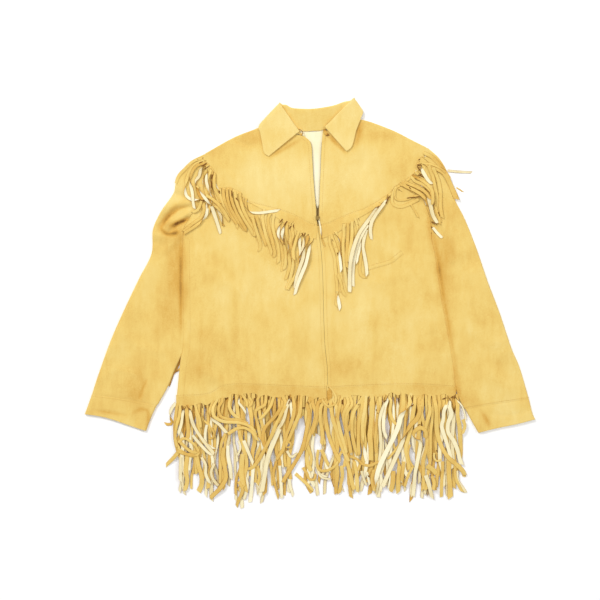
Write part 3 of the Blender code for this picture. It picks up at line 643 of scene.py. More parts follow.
def stroke(x, y, line, half_width):
    """How strongly a soft stroke along a line covers each place. It swells from its ends."""
    count = int(reach_of(line)[-1] / (0.6 * half_width)) + 2
    covered = np.zeros(np.shape(x))
    for share, (place_x, place_y) in zip(even(count), at_shares(line, even(count))):
        swell = min(1.0, 0.15 + 3.0 * share, 3.15 - 3.0 * share)
        near = np.exp(-((x - place_x) ** 2 + (y - place_y) ** 2) / half_width**2)
        covered = np.maximum(covered, swell * near)
    return covered


def painted_tone(x, y, lines=()):
    """How much lighter or darker than the plain hide each place is, from the wear, painted shade and
    highlights above.
    """
    tone = np.zeros(np.shape(x))
    for cx, cy, wide, high, change in WEAR_AND_PAINTED_LIGHT:
        tone = tone + change * np.exp(-((x - cx) / wide) ** 2 - ((y - cy) / high) ** 2)
    for points, half_width, change in SHADED_LINES + list(lines):
        tone = tone + change * stroke(x, y, curve_through(points, 4), half_width)
    return tone


three_heights = surface(np.array([0, -300, 380]), np.array([0, 160, -20]))
print("heights at three places, mm:", np.round(three_heights, 1))

# %% [markdown]
# ## The back of the body
# The back is one hide. At the sides and the shoulders its edge curls up and over to meet the fronts, so
# the jacket's outline is a soft roll. The sheet is a grid over the floor, and the rolled rim is extruded
# from its edge, step by step. Its cream inner side shows in the open neck.

# %% Back
HEM_COUNT, SIDE_COUNT, ARM_COUNT, SHOULDER_COUNT, NECK_COUNT = 102, 90, 40, 36, 30
RIM_STEPS = 7
WRAP_SETTLES = 9


def settling(wrap, share):
    """How far an edge wraps over where only this share of its wrap is left, but at least round its curl."""
    return (EDGE_RADIUS + (wrap - EDGE_RADIUS) * share).tolist()


def body_outline():
    """The back's outline, anticlockwise from its left hem corner, with how far each point curls up."""
    hem = edge(HEM, HEM_COUNT)
    right = np.vstack([edge(SIDE_RIGHT, SIDE_COUNT)[::-1], edge(ARMHOLE_RIGHT, ARM_COUNT)[::-1][1:]])
    top = np.vstack([edge(SHOULDER_RIGHT, SHOULDER_COUNT)[::-1], edge(NECK_BACK, NECK_COUNT)[::-1][1:],
                     edge(SHOULDER_LEFT, SHOULDER_COUNT)[::-1][1:]])
    left = np.vstack([edge(ARMHOLE_LEFT, ARM_COUNT), edge(SIDE_LEFT, SIDE_COUNT)[1:]])
    flat_hem, side, armhole = [0.0] * (HEM_COUNT - 1), [1.0] * SIDE_COUNT, [0.0] * (ARM_COUNT + 1)
    shoulder, neck = [1.0] * (SHOULDER_COUNT - 1), [0.0] * (NECK_COUNT + 1)
    curls = side[:1] + flat_hem + side + armhole + shoulder + neck + shoulder + armhole + side[:-1]
    ending = np.clip((SIDE_COUNT - np.arange(SIDE_COUNT)) / WRAP_SETTLES, 0, 1)
    across = np.minimum(np.arange(1, SHOULDER_COUNT), np.arange(1, SHOULDER_COUNT)[::-1]) / WRAP_SETTLES
    over_shoulder = settling(SHOULDER_WRAP, np.clip(across, 0, 1))
    wraps = ([LEFT_SIDE_WRAP] + flat_hem + settling(RIGHT_SIDE_WRAP, ending) + armhole + over_shoulder
             + neck + over_shoulder + armhole + settling(LEFT_SIDE_WRAP, ending[:0:-1]))
    return (hem, right, top, left), np.array(curls), np.array(wraps)


def inward(loop, distance):
    """An anticlockwise loop, each point moved in by its own distance."""
    around = np.vstack([loop[-1:], loop, loop[:1]])
    return loop + sideways_of(around, 0.6)[1:-1] * np.reshape(distance, (-1, 1))


outline_sides, curls, wraps = body_outline()
body_loop = np.vstack([side[:-1] for side in outline_sides])
side_ends = np.cumsum([0] + [len(side) - 1 for side in outline_sides])


def cut_at_corners(loop):
    """The four sides of a loop that runs round the back: hem, right, top, left."""
    closed = np.vstack([loop, loop[:1]])
    return [closed[a:b + 1] for a, b in zip(side_ends[:-1], side_ends[1:])]


def back_panel():
    """The back: a grid on the floor, and a rim that is extruded from it row by row and curls up."""
    bottom, right_up, top_back, left_down = cut_at_corners(inward(body_loop, EDGE_RADIUS))
    plan = patch(top_back[::-1], bottom, left_down, right_up[::-1])
    sheet = bmesh.new()
    grid = add_grid(sheet, with_height(plan))
    rim = grid[-1][:-1] + [row[-1] for row in grid[:0:-1]] + grid[0][:0:-1] + [row[0] for row in grid[:-1]]
    for step in range(1, RIM_STEPS + 1):
        flat_in = EDGE_RADIUS * (1 - step / RIM_STEPS)
        angle = math.pi * min(step / (RIM_STEPS - 1), 1)
        rolled_in = EDGE_RADIUS * (1 - math.sin(angle)) if step < RIM_STEPS else wraps
        places = inward(body_loop, curls * rolled_in + (1 - curls) * flat_in)
        places[[0, HEM_COUNT], 1] = body_loop[[0, HEM_COUNT], 1]
        levels = curls * surface(places[:, 0], places[:, 1]) / 2 * (1 - math.cos(angle))
        edges = [sheet.edges.get((a, b)) for a, b in zip(rim, rim[1:] + rim[:1])]
        grown = bmesh.ops.extrude_edge_only(sheet, edges=edges)["geom"]
        fresh = {vert for vert in grown if isinstance(vert, bmesh.types.BMVert)}
        rim = [next(e.other_vert(vert) for e in vert.link_edges if e.other_vert(vert) in fresh)
               for vert in rim]
        for vert, place, level in zip(rim, places, levels):
            vert.co = (place[0] * MM, place[1] * MM, level * MM)
    face_up(sheet, up=-1)
    area = sum(face.calc_area() for face in sheet.faces)
    made = finished("body_back", sheet, [gold_suede, cream_flesh], ["back_panel"], HIDE)


back_panel()

# %% [markdown]
# ## The two fronts and the V-shaped yoke
# Each front is cut in two at the yoke seam, a V that starts at the shoulder and meets at the top of the
# zip. The pieces are fine grids, so that the folds, the creases and the pull of the seams are real shape.

# %% Fronts and yokes
FRONT_ROWS = 150
FRONT_COLUMNS = 84
NECK_ROWS, OPENING_ROWS = 24, 50
TUCKED = 3.5
LEAST_WRAP = 2.0
EDGE_LOWERED = 0.15
RELAXING = 500


def upper_edges(tucked=0.0):
    """The right, top and left lines where the upper pieces meet the back's rolled edge, or lie under it."""
    reach = curls * np.maximum(wraps - tucked, LEAST_WRAP)
    _, right_up, top_back, left_down = cut_at_corners(inward(body_loop, reach))
    return right_up[::-1], top_back[::-1], left_down


hem_line = curve_through(HEM)


def hem_y(x):
    """Where the hem lies in the plan at x."""
    return np.interp(x, hem_line[:, 0], hem_line[:, 1])


def hem_half(outward, count, end=None):
    """The hem of one front, from the centre front out to its corner, or to a place before it."""
    centre_x = CENTRE_FRONT[-1][0]
    half = hem_line[(hem_line[:, 0] - centre_x) * outward >= 0][::outward]
    if end is not None:
        half = np.vstack([half[half[:, 0] * outward < end[0] * outward - 0.5], end])
    return at_shares(half, even(count))


def turned_in(points, sides, depth=0.8, within=4.0):
    """Lowers a sheet towards the edges that are turned under, so that they look rounded."""
    points = points.copy()
    for line in sides:
        near = np.clip(1 - away_from(points[..., 0], points[..., 1], line) / within, 0, 1)
        points[..., 2] -= depth * near**2
    return points


def tucked_under(points, line, depth=1.3, within=2.6):
    """Lowers a sheet near and beyond the edge that lies over it."""
    points = points.copy()
    beside = away_from(points[..., 0], points[..., 1], line)
    points[..., 2] -= depth * np.clip(1.6 - beside / within, 0, 1)
    return points


# Painted shade on the fronts under the roots of the yoke's fringe.
SHADE_UNDER_FRINGE = [
    (YOKE_SEAM_LEFT[2:], 13.0, -0.08),
    (YOKE_SEAM_RIGHT[2:], 13.0, -0.08),
]


def laid_panel(name, points, node):
    """A panel of the upper layer, laid on the back."""
    sheet = bmesh.new()
    add_grid(sheet, points)
    face_up(sheet)
    lines = SHADE_UNDER_FRINGE if "front" in name else ()
    tones = painted_tone(points[..., 0], points[..., 1], lines).ravel()
    made = finished(name, sheet, [gold_suede, cream_flesh], [node], HIDE, tones=tones)


right_down, top_line, left_down = upper_edges(TUCKED)
right_edge, top_edge, left_edge = upper_edges()
FRONTS = [
    # name, outward, shoulder from the neck out, armhole and side down, the edge it goes under, neck,
    # opening, seam
    ("left", -1, top_line[:SHOULDER_COUNT + 1][::-1], left_down, left_edge, NECK_FRONT_LEFT,
     OPENING_LEFT, YOKE_SEAM_LEFT),
    ("right", 1, top_line[-SHOULDER_COUNT - 1:], right_down, right_edge, NECK_FRONT_RIGHT,
     OPENING_RIGHT, YOKE_SEAM_RIGHT),
]
for name, outward, shoulder, down, side_edge, neck, opening, seam_points in FRONTS:
    beside = np.array((outward * ZIP_PLAY, 0))
    seam = edge(seam_points, FRONT_COLUMNS)
    shoulder = at_shares(shoulder, even(FRONT_COLUMNS))
    yoke_seam, front_seam = seam.copy(), seam.copy()
    meeting = max(int(np.argmin(np.linalg.norm(down - seam[-1], axis=1))), 2)

    inner = np.vstack([edge(neck, NECK_ROWS), edge(opening, OPENING_ROWS)[1:]])
    inner[0] = shoulder[0]
    inner[-1] = yoke_seam[0] + beside
    outer = at_shares(down[:meeting + 1], even(len(inner) - 1))
    yoke_seam[-1] = outer[-1]
    points = raised(closing(shoulder, yoke_seam, inner, outer), 0, [seam])
    points = tucked_under(turned_in(points, [inner[NECK_ROWS:]]), top_edge, EDGE_LOWERED)
    laid_panel(f"yoke_{name}", points, f"front_yoke_{name}")

    foot = (down[-2][0], hem_y(down[-2][0]))
    outer = at_shares(np.vstack([down[meeting:-2], foot]), even(FRONT_ROWS))
    inner = edge(CENTRE_FRONT, FRONT_ROWS) + beside
    inner[0] = front_seam[0] + beside
    front_seam[-1] = outer[0]
    hem = hem_half(outward, FRONT_COLUMNS, outer[-1])
    points = raised(relaxed(closing(front_seam, hem, inner, outer), RELAXING), 0, [seam, hem])
    points = tucked_under(turned_in(points, [inner]), side_edge[ARM_COUNT:], EDGE_LOWERED)
    laid_panel(f"front_{name}_hide", points, f"front_{name}")

# %% [markdown]
# ## Sleeves and cuffs
# A sleeve is a tube of hide that has been pressed flat: the upper and the lower layer lie close together,
# and the fold at each side is round. The grid goes once round the tube, and its two ends stay open.

# %% Sleeves and cuffs
ROUND_SHARE = 0.06
ROUND_STEPS = (1 - np.cos(np.linspace(0, math.pi, 13))) / 2 * ROUND_SHARE
FLAT_STEPS = even(34) * (1 - 2 * ROUND_SHARE) + ROUND_SHARE
TUBE_SHARES = np.unique(np.concatenate([ROUND_STEPS, FLAT_STEPS, 1 - ROUND_STEPS]).round(6))
SLEEVE_ROWS = 180
CUFF_ROWS = 12
BESIDE_BODY = -1.4
ARMPIT_SHARE = 0.12
CUFF_LIFT = 0.3
CUFF_WALL = 2.2


def tube_points(plan, above=0.0, seams=()):
    """A flattened tube over a plan whose rows run across it: the upper layer, then the lower one back."""
    height = surface(plan[..., 0], plan[..., 1]) + above
    for line in seams:
        height = height + groove(plan[..., 0], plan[..., 1], line)
    widths = np.linalg.norm(np.diff(plan, axis=1), axis=2)
    reach = np.concatenate([np.zeros((len(plan), 1)), np.cumsum(widths, axis=1)], axis=1)
    inside = np.minimum(reach, reach[:, -1:] - reach)
    half = height / 2
    turn = np.sqrt(np.maximum(half**2 - np.maximum(half - inside, 0) ** 2, 0))
    upper, lower = with_height(plan, half + turn), with_height(plan, half - turn)
    return np.concatenate([upper, lower[:, -2:0:-1], upper[:, :1]], axis=1)


def laid_tube(name, points, node, wall):
    """A sleeve or a cuff, laid on the floor."""
    sheet = bmesh.new()
    add_grid(sheet, points)
    bmesh.ops.remove_doubles(sheet, verts=sheet.verts, dist=0.01 * MM)
    face_out(sheet)
    made = finished(name, sheet, [gold_suede, cream_flesh], [node], wall)


ARMHOLE_STEPS = 60
SLEEVES = [
    # name, outward, armhole, the share of it that meets the sleeve's top, the sleeve's outer and inner
    # edges, the cuff's seam, end, outer and inner edges
    ("left", -1, ARMHOLE_LEFT, LEFT_MEETING, SLEEVE_OUTER_LEFT, SLEEVE_INNER_LEFT,
     CUFF_SEAM_LEFT, CUFF_END_LEFT, CUFF_OUTER_LEFT, CUFF_INNER_LEFT),
    ("right", 1, ARMHOLE_RIGHT, RIGHT_MEETING, SLEEVE_OUTER_RIGHT, SLEEVE_INNER_RIGHT,
     CUFF_SEAM_RIGHT, CUFF_END_RIGHT, CUFF_OUTER_RIGHT, CUFF_INNER_RIGHT),
]
sleeve_outlines = []
for name, outward, armhole, met, outer, inner, cuff_seam, cuff_end, cuff_outer, cuff_inner in SLEEVES:
    body_line = at_shares(curve_through(armhole), even(ARMHOLE_STEPS))
    top_end = int(round(met * ARMHOLE_STEPS))
    top = at_shares(body_line[:top_end + 1], TUBE_SHARES)
    bottom = at_shares(curve_through(cuff_seam), TUBE_SHARES)
    left = edge(outer, SLEEVE_ROWS)
    down = even(SLEEVE_ROWS)
    inner_line = np.vstack([body_line[top_end:], curve_through(inner)[1:]])
    beside = BESIDE_BODY * np.clip(down / ARMPIT_SHARE - 1, 0, 1)
    right = at_shares(moved_sideways(at_shares(inner_line, down), outward * beside), down)
    left[0], right[0], right[-1] = top[0], top[-1], bottom[-1]
    plan = straightening(top, bottom, left, right, down)
    laid_tube(f"sleeve_{name}_hide", tube_points(plan, 0.0, [top, bottom]), f"sleeve_{name}", HIDE)
    sleeve_outlines.append(np.vstack([top, right[1:], bottom[::-1][1:], left[::-1][1:-1]]))

    top, bottom = bottom, at_shares(curve_through(cuff_end), TUBE_SHARES)
    left, right = edge(cuff_outer, CUFF_ROWS), edge(cuff_inner, CUFF_ROWS)
    left[0], right[0] = top[0], top[-1]
    plan = patch(top, bottom, left, right)
    laid_tube(f"cuff_{name}_hide", tube_points(plan, CUFF_LIFT, [top]), f"cuff_{name}", CUFF_WALL)
    sleeve_outlines.append(np.vstack([top, right[1:], bottom[::-1][1:], left[::-1][1:-1]]))

# %% [markdown]
# ## The collar
# The stand rises round the neck, rolls over, and the fall comes down on the outside and ends in two
# points. Each row of the table is one place round the neck. The rows between them are filled in by a
# smooth curve, and the wall is two hides thick, because a collar is lined.

# %% Collar
COLLAR = [
    # neck x, y, z, roll x, y, z, edge x, y, z, turn, space
    (-15, 366, 5.2, -25, 375, 6.2, -91, 319, 8.6, 0, 3.6),
    (-31, 370, 5.2, -36, 390, 6.4, -101, 327, 8.6, 0, 3.6),
    (-45, 381, 5.2, -48, 408, 6.6, -105, 348, 8.4, 0, 3.8),
    (-51, 397, 5.2, -57, 421, 7.4, -109, 369, 8.4, 20, 4.2),
    (-51, 418, 4.2, -64, 434.4, 8.6, -111, 388, 8.4, 75, 5.0),
    (-46, 409, 2.2, -60, 431, 9.0, -73, 419, 1.4, 135, 5.6),
    (-44, 394, 1.6, -52, 431, 8.8, -51, 423, 1.1, 165, 6.4),
    (-31, 379, 2.0, -40, 425, 8.4, -36, 405, 1.1, 180, 6.4),
    (-14, 374.5, 2.4, -18, 423, 8.2, -15, 394, 1.1, 180, 6.4),
    (7, 375.5, 2.4, 7, 423, 8.2, 7, 392, 1.1, 180, 6.4),
    (26, 377, 2.2, 31, 426, 8.2, 28, 396, 1.1, 180, 6.4),
    (44, 388, 1.0, 55, 431, 8.4, 50, 406, 1.1, 180, 6.4),
    (61, 401, 1.2, 75, 438, 8.8, 70, 421, 1.1, 165, 6.4),
    (69, 409, 2.2, 86, 439, 9.0, 89, 426, 1.4, 135, 5.6),
    (74, 417, 4.2, 94, 445.3, 8.6, 115, 420, 6.0, 75, 5.0),
    (71, 397, 5.2, 81, 432, 7.4, 111, 401, 8.4, 20, 4.2),
    (59, 385, 5.2, 65, 416, 6.6, 101, 375, 8.4, 0, 3.8),
    (43, 380, 5.2, 48, 398, 6.4, 92, 341, 8.6, 0, 3.6),
    (30, 378, 5.2, 34, 384, 6.2, 80, 330, 8.6, 0, 3.6),
]
NECK_MIDDLE = (8.0, 400.0)
COLLAR_WALL = 2.0
COLLAR_FALL_TONE = 0.13
COLLAR_STAND_TONE = 0.02
COLLAR_STEPS = 6
STAND_STEPS = 6
ROLL_STEPS = 9
FALL_STEPS = 16


def collar_rows():
    """The collar's rows of points, each from the neck up the stand, over the roll and down the fall."""
    rows = []
    for nx, ny, nz, rx, ry, rz, ex, ey, ez, turn, space in curve_through(COLLAR, COLLAR_STEPS):
        neck, roll, end = np.array((nx, ny, nz)), np.array((rx, ry, rz)), np.array((ex, ey, ez))
        outward = np.array((rx - NECK_MIDDLE[0], ry - NECK_MIDDLE[1], 0.0))
        outward /= np.linalg.norm(outward)
        angle = math.radians(turn)
        over = math.cos(angle) * np.array((0, 0, 1.0)) + math.sin(angle) * outward
        ahead = (roll - neck) / np.linalg.norm(roll - neck)
        start = roll - ahead * space / 2
        middle = start + over * space / 2
        around = [middle + space / 2 * (math.sin(t) * ahead - math.cos(t) * over)
                  for t in np.linspace(0, math.pi, ROLL_STEPS)]
        stand = [neck + (start - neck) * share for share in even(STAND_STEPS)[:-1]]
        fall = [around[-1] + (end - around[-1]) * share for share in even(FALL_STEPS)[1:]]
        rows.append(stand + around + fall)
    return np.array(rows)


rows = collar_rows()
collar_sheet = bmesh.new()
add_grid(collar_sheet, rows)
face_up(collar_sheet)
tones = np.full(rows.shape[:2], COLLAR_FALL_TONE)
tones[:, :STAND_STEPS + ROLL_STEPS // 2] = COLLAR_STAND_TONE
made = finished("collar_hide", collar_sheet, [gold_suede], ["collar"], COLLAR_WALL, offset=0.0,
                tones=tones.ravel())

# %% [markdown]
# ## What the fringe lies on
# Each strip of fringe lies on whatever is under it: the hide, the floor, or strips laid before it. A map
# of heights keeps the top of everything laid so far, in small square cells. A strip reads it, rests on
# it, bridges small steps as stiff hide does, and then adds its own top to the map.

# %% Map of heights
CELL = 1.5
MAP_LOW = (-525.0, -475.0)
map_x = np.arange(MAP_LOW[0], -MAP_LOW[0], CELL)
map_y = np.arange(MAP_LOW[1], -MAP_LOW[1], CELL)
laid_tops = np.zeros((len(map_y), len(map_x)))


def inside(x, y, outline):
    """Which points lie inside a closed outline."""
    within = np.zeros(np.shape(x), bool)
    for (x1, y1), (x2, y2) in zip(outline, np.roll(outline, -1, axis=0)):
        if y1 != y2:
            within ^= ((y1 > y) != (y2 > y)) & (x < (x2 - x1) * (y - y1) / (y2 - y1) + x1)
    return within


def cells(x, y):
    """The rows and columns of the map's cells at these places."""
    column = np.clip(((x - MAP_LOW[0]) / CELL).round().astype(int), 0, len(map_x) - 1)
    row = np.clip(((y - MAP_LOW[1]) / CELL).round().astype(int), 0, len(map_y) - 1)
    return row, column


def add_to_map(x, y, tops):
    np.maximum.at(laid_tops, cells(x, y), tops)


cell_x, cell_y = np.meshgrid(map_x, map_y)
for outline in [body_loop[::3]] + [line[::4] for line in sleeve_outlines]:
    low, high = outline.min(axis=0), outline.max(axis=0)
    near = (cell_x >= low[0]) & (cell_x <= high[0]) & (cell_y >= low[1]) & (cell_y <= high[1])
    spots_x, spots_y = cell_x[near], cell_y[near]
    covered = inside(spots_x, spots_y, outline)
    add_to_map(spots_x[covered], spots_y[covered], surface(spots_x[covered], spots_y[covered]))
bare_tops = laid_tops.copy()
floor_tops = np.zeros_like(laid_tops)
print("cells covered by hide:", int((laid_tops > 0).sum()))

# %% [markdown]
# ## One strip of fringe
# A strip is a narrow ribbon cut with one stroke of a knife, napped gold on one side and cream on the
# other. It twists on its way, so both sides show. Here it is a grid of five columns along a smooth line.
# A word of letters says which way it lies along its length: g is gold up, c is cream up, e is on edge, s is
# gold up with painted light shade, b is gold up with painted deep shade, and k is a strip painted in deep
# shade and laid flush, which stands for the shaded gap between two strips.

# %% Laying a strip
STRIP_WALL = 1.1
STRIP_SLIMMER = 0.86
THREAD_WIDE = 4
ROW_LENGTH = 6.5
LEAST_ROWS, MOST_ROWS = 5, 42
ACROSS = np.array([1.0, 0.8, 0.0, -0.8, -1.0])
AT_EDGE = np.abs(ACROSS) > 0.95

# Turns in degrees, how much faster than evenly they are made, and the shape of a turned strip.
TURNED = {"g": 0.0, "s": 0.0, "b": 0.0, "k": 0.0, "e": 90.0, "c": 180.0}
TURNS_FASTER = 1.6
NARROWED_ON_EDGE = 0.4
CURL = 0.3
SLANT_OF_END = 4.2

# How a strip rests on what is under it, in mm.
PILE_SETTLES = 6.0
HIGHEST_MIDDLE = 19.0
BRIDGING_SLOPE = 0.16
GAP_SUNK = 0.75
ROOT_LENGTH = 10.0
ROOT_BLENDS = 14.0
ROOT_KEEPS_WIDTH = 12

# Changes of tone: of each strip, and painted shade on lettered parts, cut edges, slits, roots and lower
# strips.
STRIP_TONE, STRIP_TONE_SPREAD = -0.04, 0.045
FLESH_TONE, FLESH_TONE_SPREAD = -0.03, 0.06
BAND_TONE = -0.05
SHADE = {"s": -0.16, "b": -0.34, "k": -0.9}
# Painted shade on the strips' cut edges.
EDGE_SHADE = -0.30
SHADED_ROOT, SHADED_ROOT_LENGTH = -0.16, 34
SHADED_ROOT_LEVEL = 4.0
SLIT_TONE, SLIT_PLACE, SLIT_LENGTH = -0.9, 10.0, 8.0
# Painted shade on the strips that lie underneath the others.
UNDERNEATH_SHADE = -0.09
rng = np.random.default_rng(11)


def smoothed(values, times):
    """Values along a strip, evened out with their neighbours, with the two ends kept."""
    for _ in range(times):
        inner = (values[:-2] + 2 * values[1:-1] + values[2:]) / 4
        values = np.concatenate([values[:1], inner, values[-1:]])
    return values


def twisted(codes, along):
    """How far a strip is turned at each row, in radians."""
    turns = [TURNED[code] for code in codes]
    hand = rng.choice([-1.0, 1.0])
    angle = np.interp(along, np.linspace(0, along[-1], len(turns)), turns)
    nearest_flat = np.round(angle / 180) * 2
    quarters = np.clip((angle / 90 - nearest_flat) * TURNS_FASTER, -1, 1) + nearest_flat
    return smoothed(np.radians(quarters * 90), 2) * hand + rng.normal(0, 0.05)


def level_under(centre, side, ahead, flat_half, on):
    """The highest level of a map of heights under each row of a strip."""
    under = np.zeros(len(centre))
    for across in np.linspace(-1, 1, 5):
        for forward in (-0.5, -0.25, 0.0, 0.25, 0.5):
            spot = centre + side * (across * flat_half)[:, None] + ahead * forward * ROW_LENGTH
            under = np.maximum(under, on[cells(spot[:, 0], spot[:, 1])])
    return under


def tone_of_strip(plan, codes, along, root_level):
    """The tone at each point of a strip: its own, and painted shade on its letters, cut edges, slit and
    root.
    """
    own_tone = rng.normal(STRIP_TONE, STRIP_TONE_SPREAD)
    if "c" in codes:
        own_tone += rng.normal(FLESH_TONE, FLESH_TONE_SPREAD)
    tone = painted_tone(plan[..., 0], plan[..., 1]) + own_tone + EDGE_SHADE * AT_EDGE
    shade = [SHADE.get(code, 0.0) for code in codes]
    tone = tone + np.interp(along, np.linspace(0, along[-1], len(codes)), shade)[:, None]
    # Painted shade in the slits where the strips leave the band.
    if root_level is not None and root_level > SHADED_ROOT_LEVEL:
        slit = SLIT_TONE * rng.uniform(0.3, 1.0) * np.exp(-(((along - SLIT_PLACE) / SLIT_LENGTH) ** 2))
        tone = tone + slit[:, None] * AT_EDGE
    if root_level is not None and root_level < SHADED_ROOT_LEVEL:
        root_shade = SHADED_ROOT * np.exp(-((along / SHADED_ROOT_LENGTH) ** 2))
        tone = tone + UNDERNEATH_SHADE + root_shade[:, None]
    return tone


def add_strip_to_map(centre, side, along, middle, flat_half, edge_rise):
    """Adds the top of a strip to the map of heights."""
    fine = np.linspace(0, along[-1], int(along[-1]) + 2)
    fine_centre = at_shares(centre, fine / along[-1])
    fine_side = np.stack([np.interp(fine, along, side[:, k]) for k in (0, 1)], axis=1)
    fine_half, fine_middle, fine_rise = [np.interp(fine, along, v) for v in (flat_half, middle, edge_rise)]
    for across in np.linspace(-0.9, 0.9, 7):
        spot = fine_centre + fine_side * (across * fine_half)[:, None]
        add_to_map(spot[:, 0], spot[:, 1], fine_middle + STRIP_WALL / 2 + fine_rise * 0.8)


def lay_strip(sheet, tones, codes, wide, points, root_level=None, on=laid_tops):
    """Adds one strip to a sheet: it lies on a map of heights, or starts at a root at its own level."""
    line = curve_through(points, 10)
    length = reach_of(line)[-1]
    wide = wide * STRIP_SLIMMER if wide > THREAD_WIDE else wide
    count = int(np.clip(round(length / ROW_LENGTH), LEAST_ROWS, MOST_ROWS))
    along = np.linspace(0, length, count + 1)
    centre = at_shares(line, even(count))
    angle = twisted(codes, along)
    waves = 0.07 * np.sin(along / rng.uniform(9, 16) + rng.uniform(0, 6))
    wobble = 1 + waves + rng.normal(0, 0.02, count + 1)
    half = wide / 2 * wobble * (1 - NARROWED_ON_EDGE * np.sin(angle) ** 2)
    half[-1] *= rng.uniform(0.75, 1.0)

    side = sideways_of(centre)
    side /= np.linalg.norm(side, axis=1, keepdims=True)
    ahead = np.stack([side[:, 1], -side[:, 0]], axis=1)
    flat_half = half * np.abs(np.cos(angle)) + STRIP_WALL / 2
    under = level_under(centre, side, ahead, flat_half, on)
    pile = np.maximum(under - bare_tops[cells(centre[:, 0], centre[:, 1])], 0)
    settled = 1 / (1 + pile / PILE_SETTLES)
    rise = (STRIP_WALL + half * np.abs(np.sin(angle))) * settled - STRIP_WALL / 2
    middle = under + rise
    middle += np.maximum(0, smoothed(rng.normal(0.1, 0.8, count + 1), 2)) * settled
    apart = np.abs(along[:, None] - along[None, :]) * BRIDGING_SLOPE
    middle = (middle[None, :] - apart).max(axis=1)
    middle = np.minimum(np.maximum(smoothed(middle, 2), under + rise - 0.15), HIGHEST_MIDDLE)
    # A strip of painted shade for a gap is laid flush with its neighbours.
    if "k" in codes:
        middle = under + rise - GAP_SUNK
    if root_level is not None:
        share = np.clip((along - ROOT_LENGTH) / ROOT_BLENDS, 0, 1)
        middle = (1 - share) * (root_level - STRIP_WALL / 2) + share * middle
        angle = angle * np.clip((along - 2) / ROOT_BLENDS, 0, 1)
        near_root = along < ROOT_KEEPS_WIDTH
        half[near_root] = np.maximum(half[near_root], wide / 2)

    upright, level = np.sin(angle)[:, None], np.cos(angle)[:, None]
    half_across = half[:, None] * ACROSS
    aside = level * half_across + upright * CURL * ACROSS**2
    plan = centre[:, None, :] + side[:, None, :] * aside[..., None]
    height = middle[:, None] + upright * half_across - level * CURL * ACROSS**2
    plan[-1] += ahead[-1] * (ACROSS * rng.uniform(-SLANT_OF_END, SLANT_OF_END))[:, None]
    height = np.maximum(height, STRIP_WALL / 2 + 0.05)
    add_grid(sheet, with_height(plan, height))
    tones.extend(tone_of_strip(plan, codes, along, root_level).ravel().tolist())
    add_strip_to_map(centre, side, along, middle, flat_half, half * np.abs(np.sin(angle)))
    return wide * length


def on_plan(points, origin, dots_per_pixel):
    """Points read off an enlarged plan, as millimetres on the jacket."""
    pixels = np.array(origin) + np.array(points, float) / dots_per_pixel
    return (pixels - MIDDLE_PIXEL) * (PIXEL, -PIXEL)


NEAR_ENOUGH = 3
LEAST_FLAT = 10.0
PHOTOGRAPH = ((0, 0), 1)


def rooted(points, band_edge, tuck):
    """The strip's line, drawn back to the edge of the band it is cut from."""
    root = band_edge[np.argmin(np.linalg.norm(band_edge - points[0], axis=1))]
    away = points[1] - points[0]
    away = away / (np.linalg.norm(away) + 1e-6)
    if np.linalg.norm(root - points[0]) > NEAR_ENOUGH:
        return np.vstack([root - away * tuck, root + (points[0] - root) * 0.4, points])
    return np.vstack([points[0] - away * tuck, points])


def strips_on_plan(rows, plan, band_edge=None, within=0.0, level_at=None, tuck=5.0):
    """Strips read off a plan, in order. Those that start near the edge of a band are drawn back to it."""
    laying = []
    for codes, wide, points in rows:
        line = on_plan(points, *plan)
        if within and np.min(np.linalg.norm(band_edge - line[0], axis=1)) < within:
            laying.append((codes, wide, rooted(line, band_edge, tuck), level_at(line[0])))
        else:
            laying.append((codes, wide, line, None))
    return laying


def fringe(name, laying, nodes, bands=(), wall=STRIP_WALL, on=laid_tops):
    """A piece of fringe: the band that is sewn into the seam, and its strips, laid in their order."""
    sheet, tones, total, wide_total = bmesh.new(), [], 0.0, 0.0
    for band in bands:
        add_grid(sheet, band)
        flat = band.reshape(-1, 3)
        tones.extend((painted_tone(flat[:, 0], flat[:, 1]) + BAND_TONE).tolist())
        total += flat_area(band) / MM / MM
    face_up(sheet)
    for codes, wide, line, root_level in laying:
        total += lay_strip(sheet, tones, codes, wide, line, root_level, on)
        wide_total += wide
    made = finished(name, sheet, [gold_suede, cream_flesh], nodes, wall, offset=0.0, tones=tones)
    wide = max(wide_total, LEAST_FLAT)


# %% [markdown]
# ## The fringe of the hem
# A band of hide is sewn under the hem of the fronts, and another under the hem of the back. Each was cut
# into strips with a knife. Most of the strips here were placed one by one from enlarged plans of the
# jacket; the ones underneath, which show only between those, follow a rule. A plan is named by the pixel
# of the photograph at its corner and its dots to a pixel. In every table of strips the columns are: which
# way it lies, its width in mm, and the points of its line on the plan.

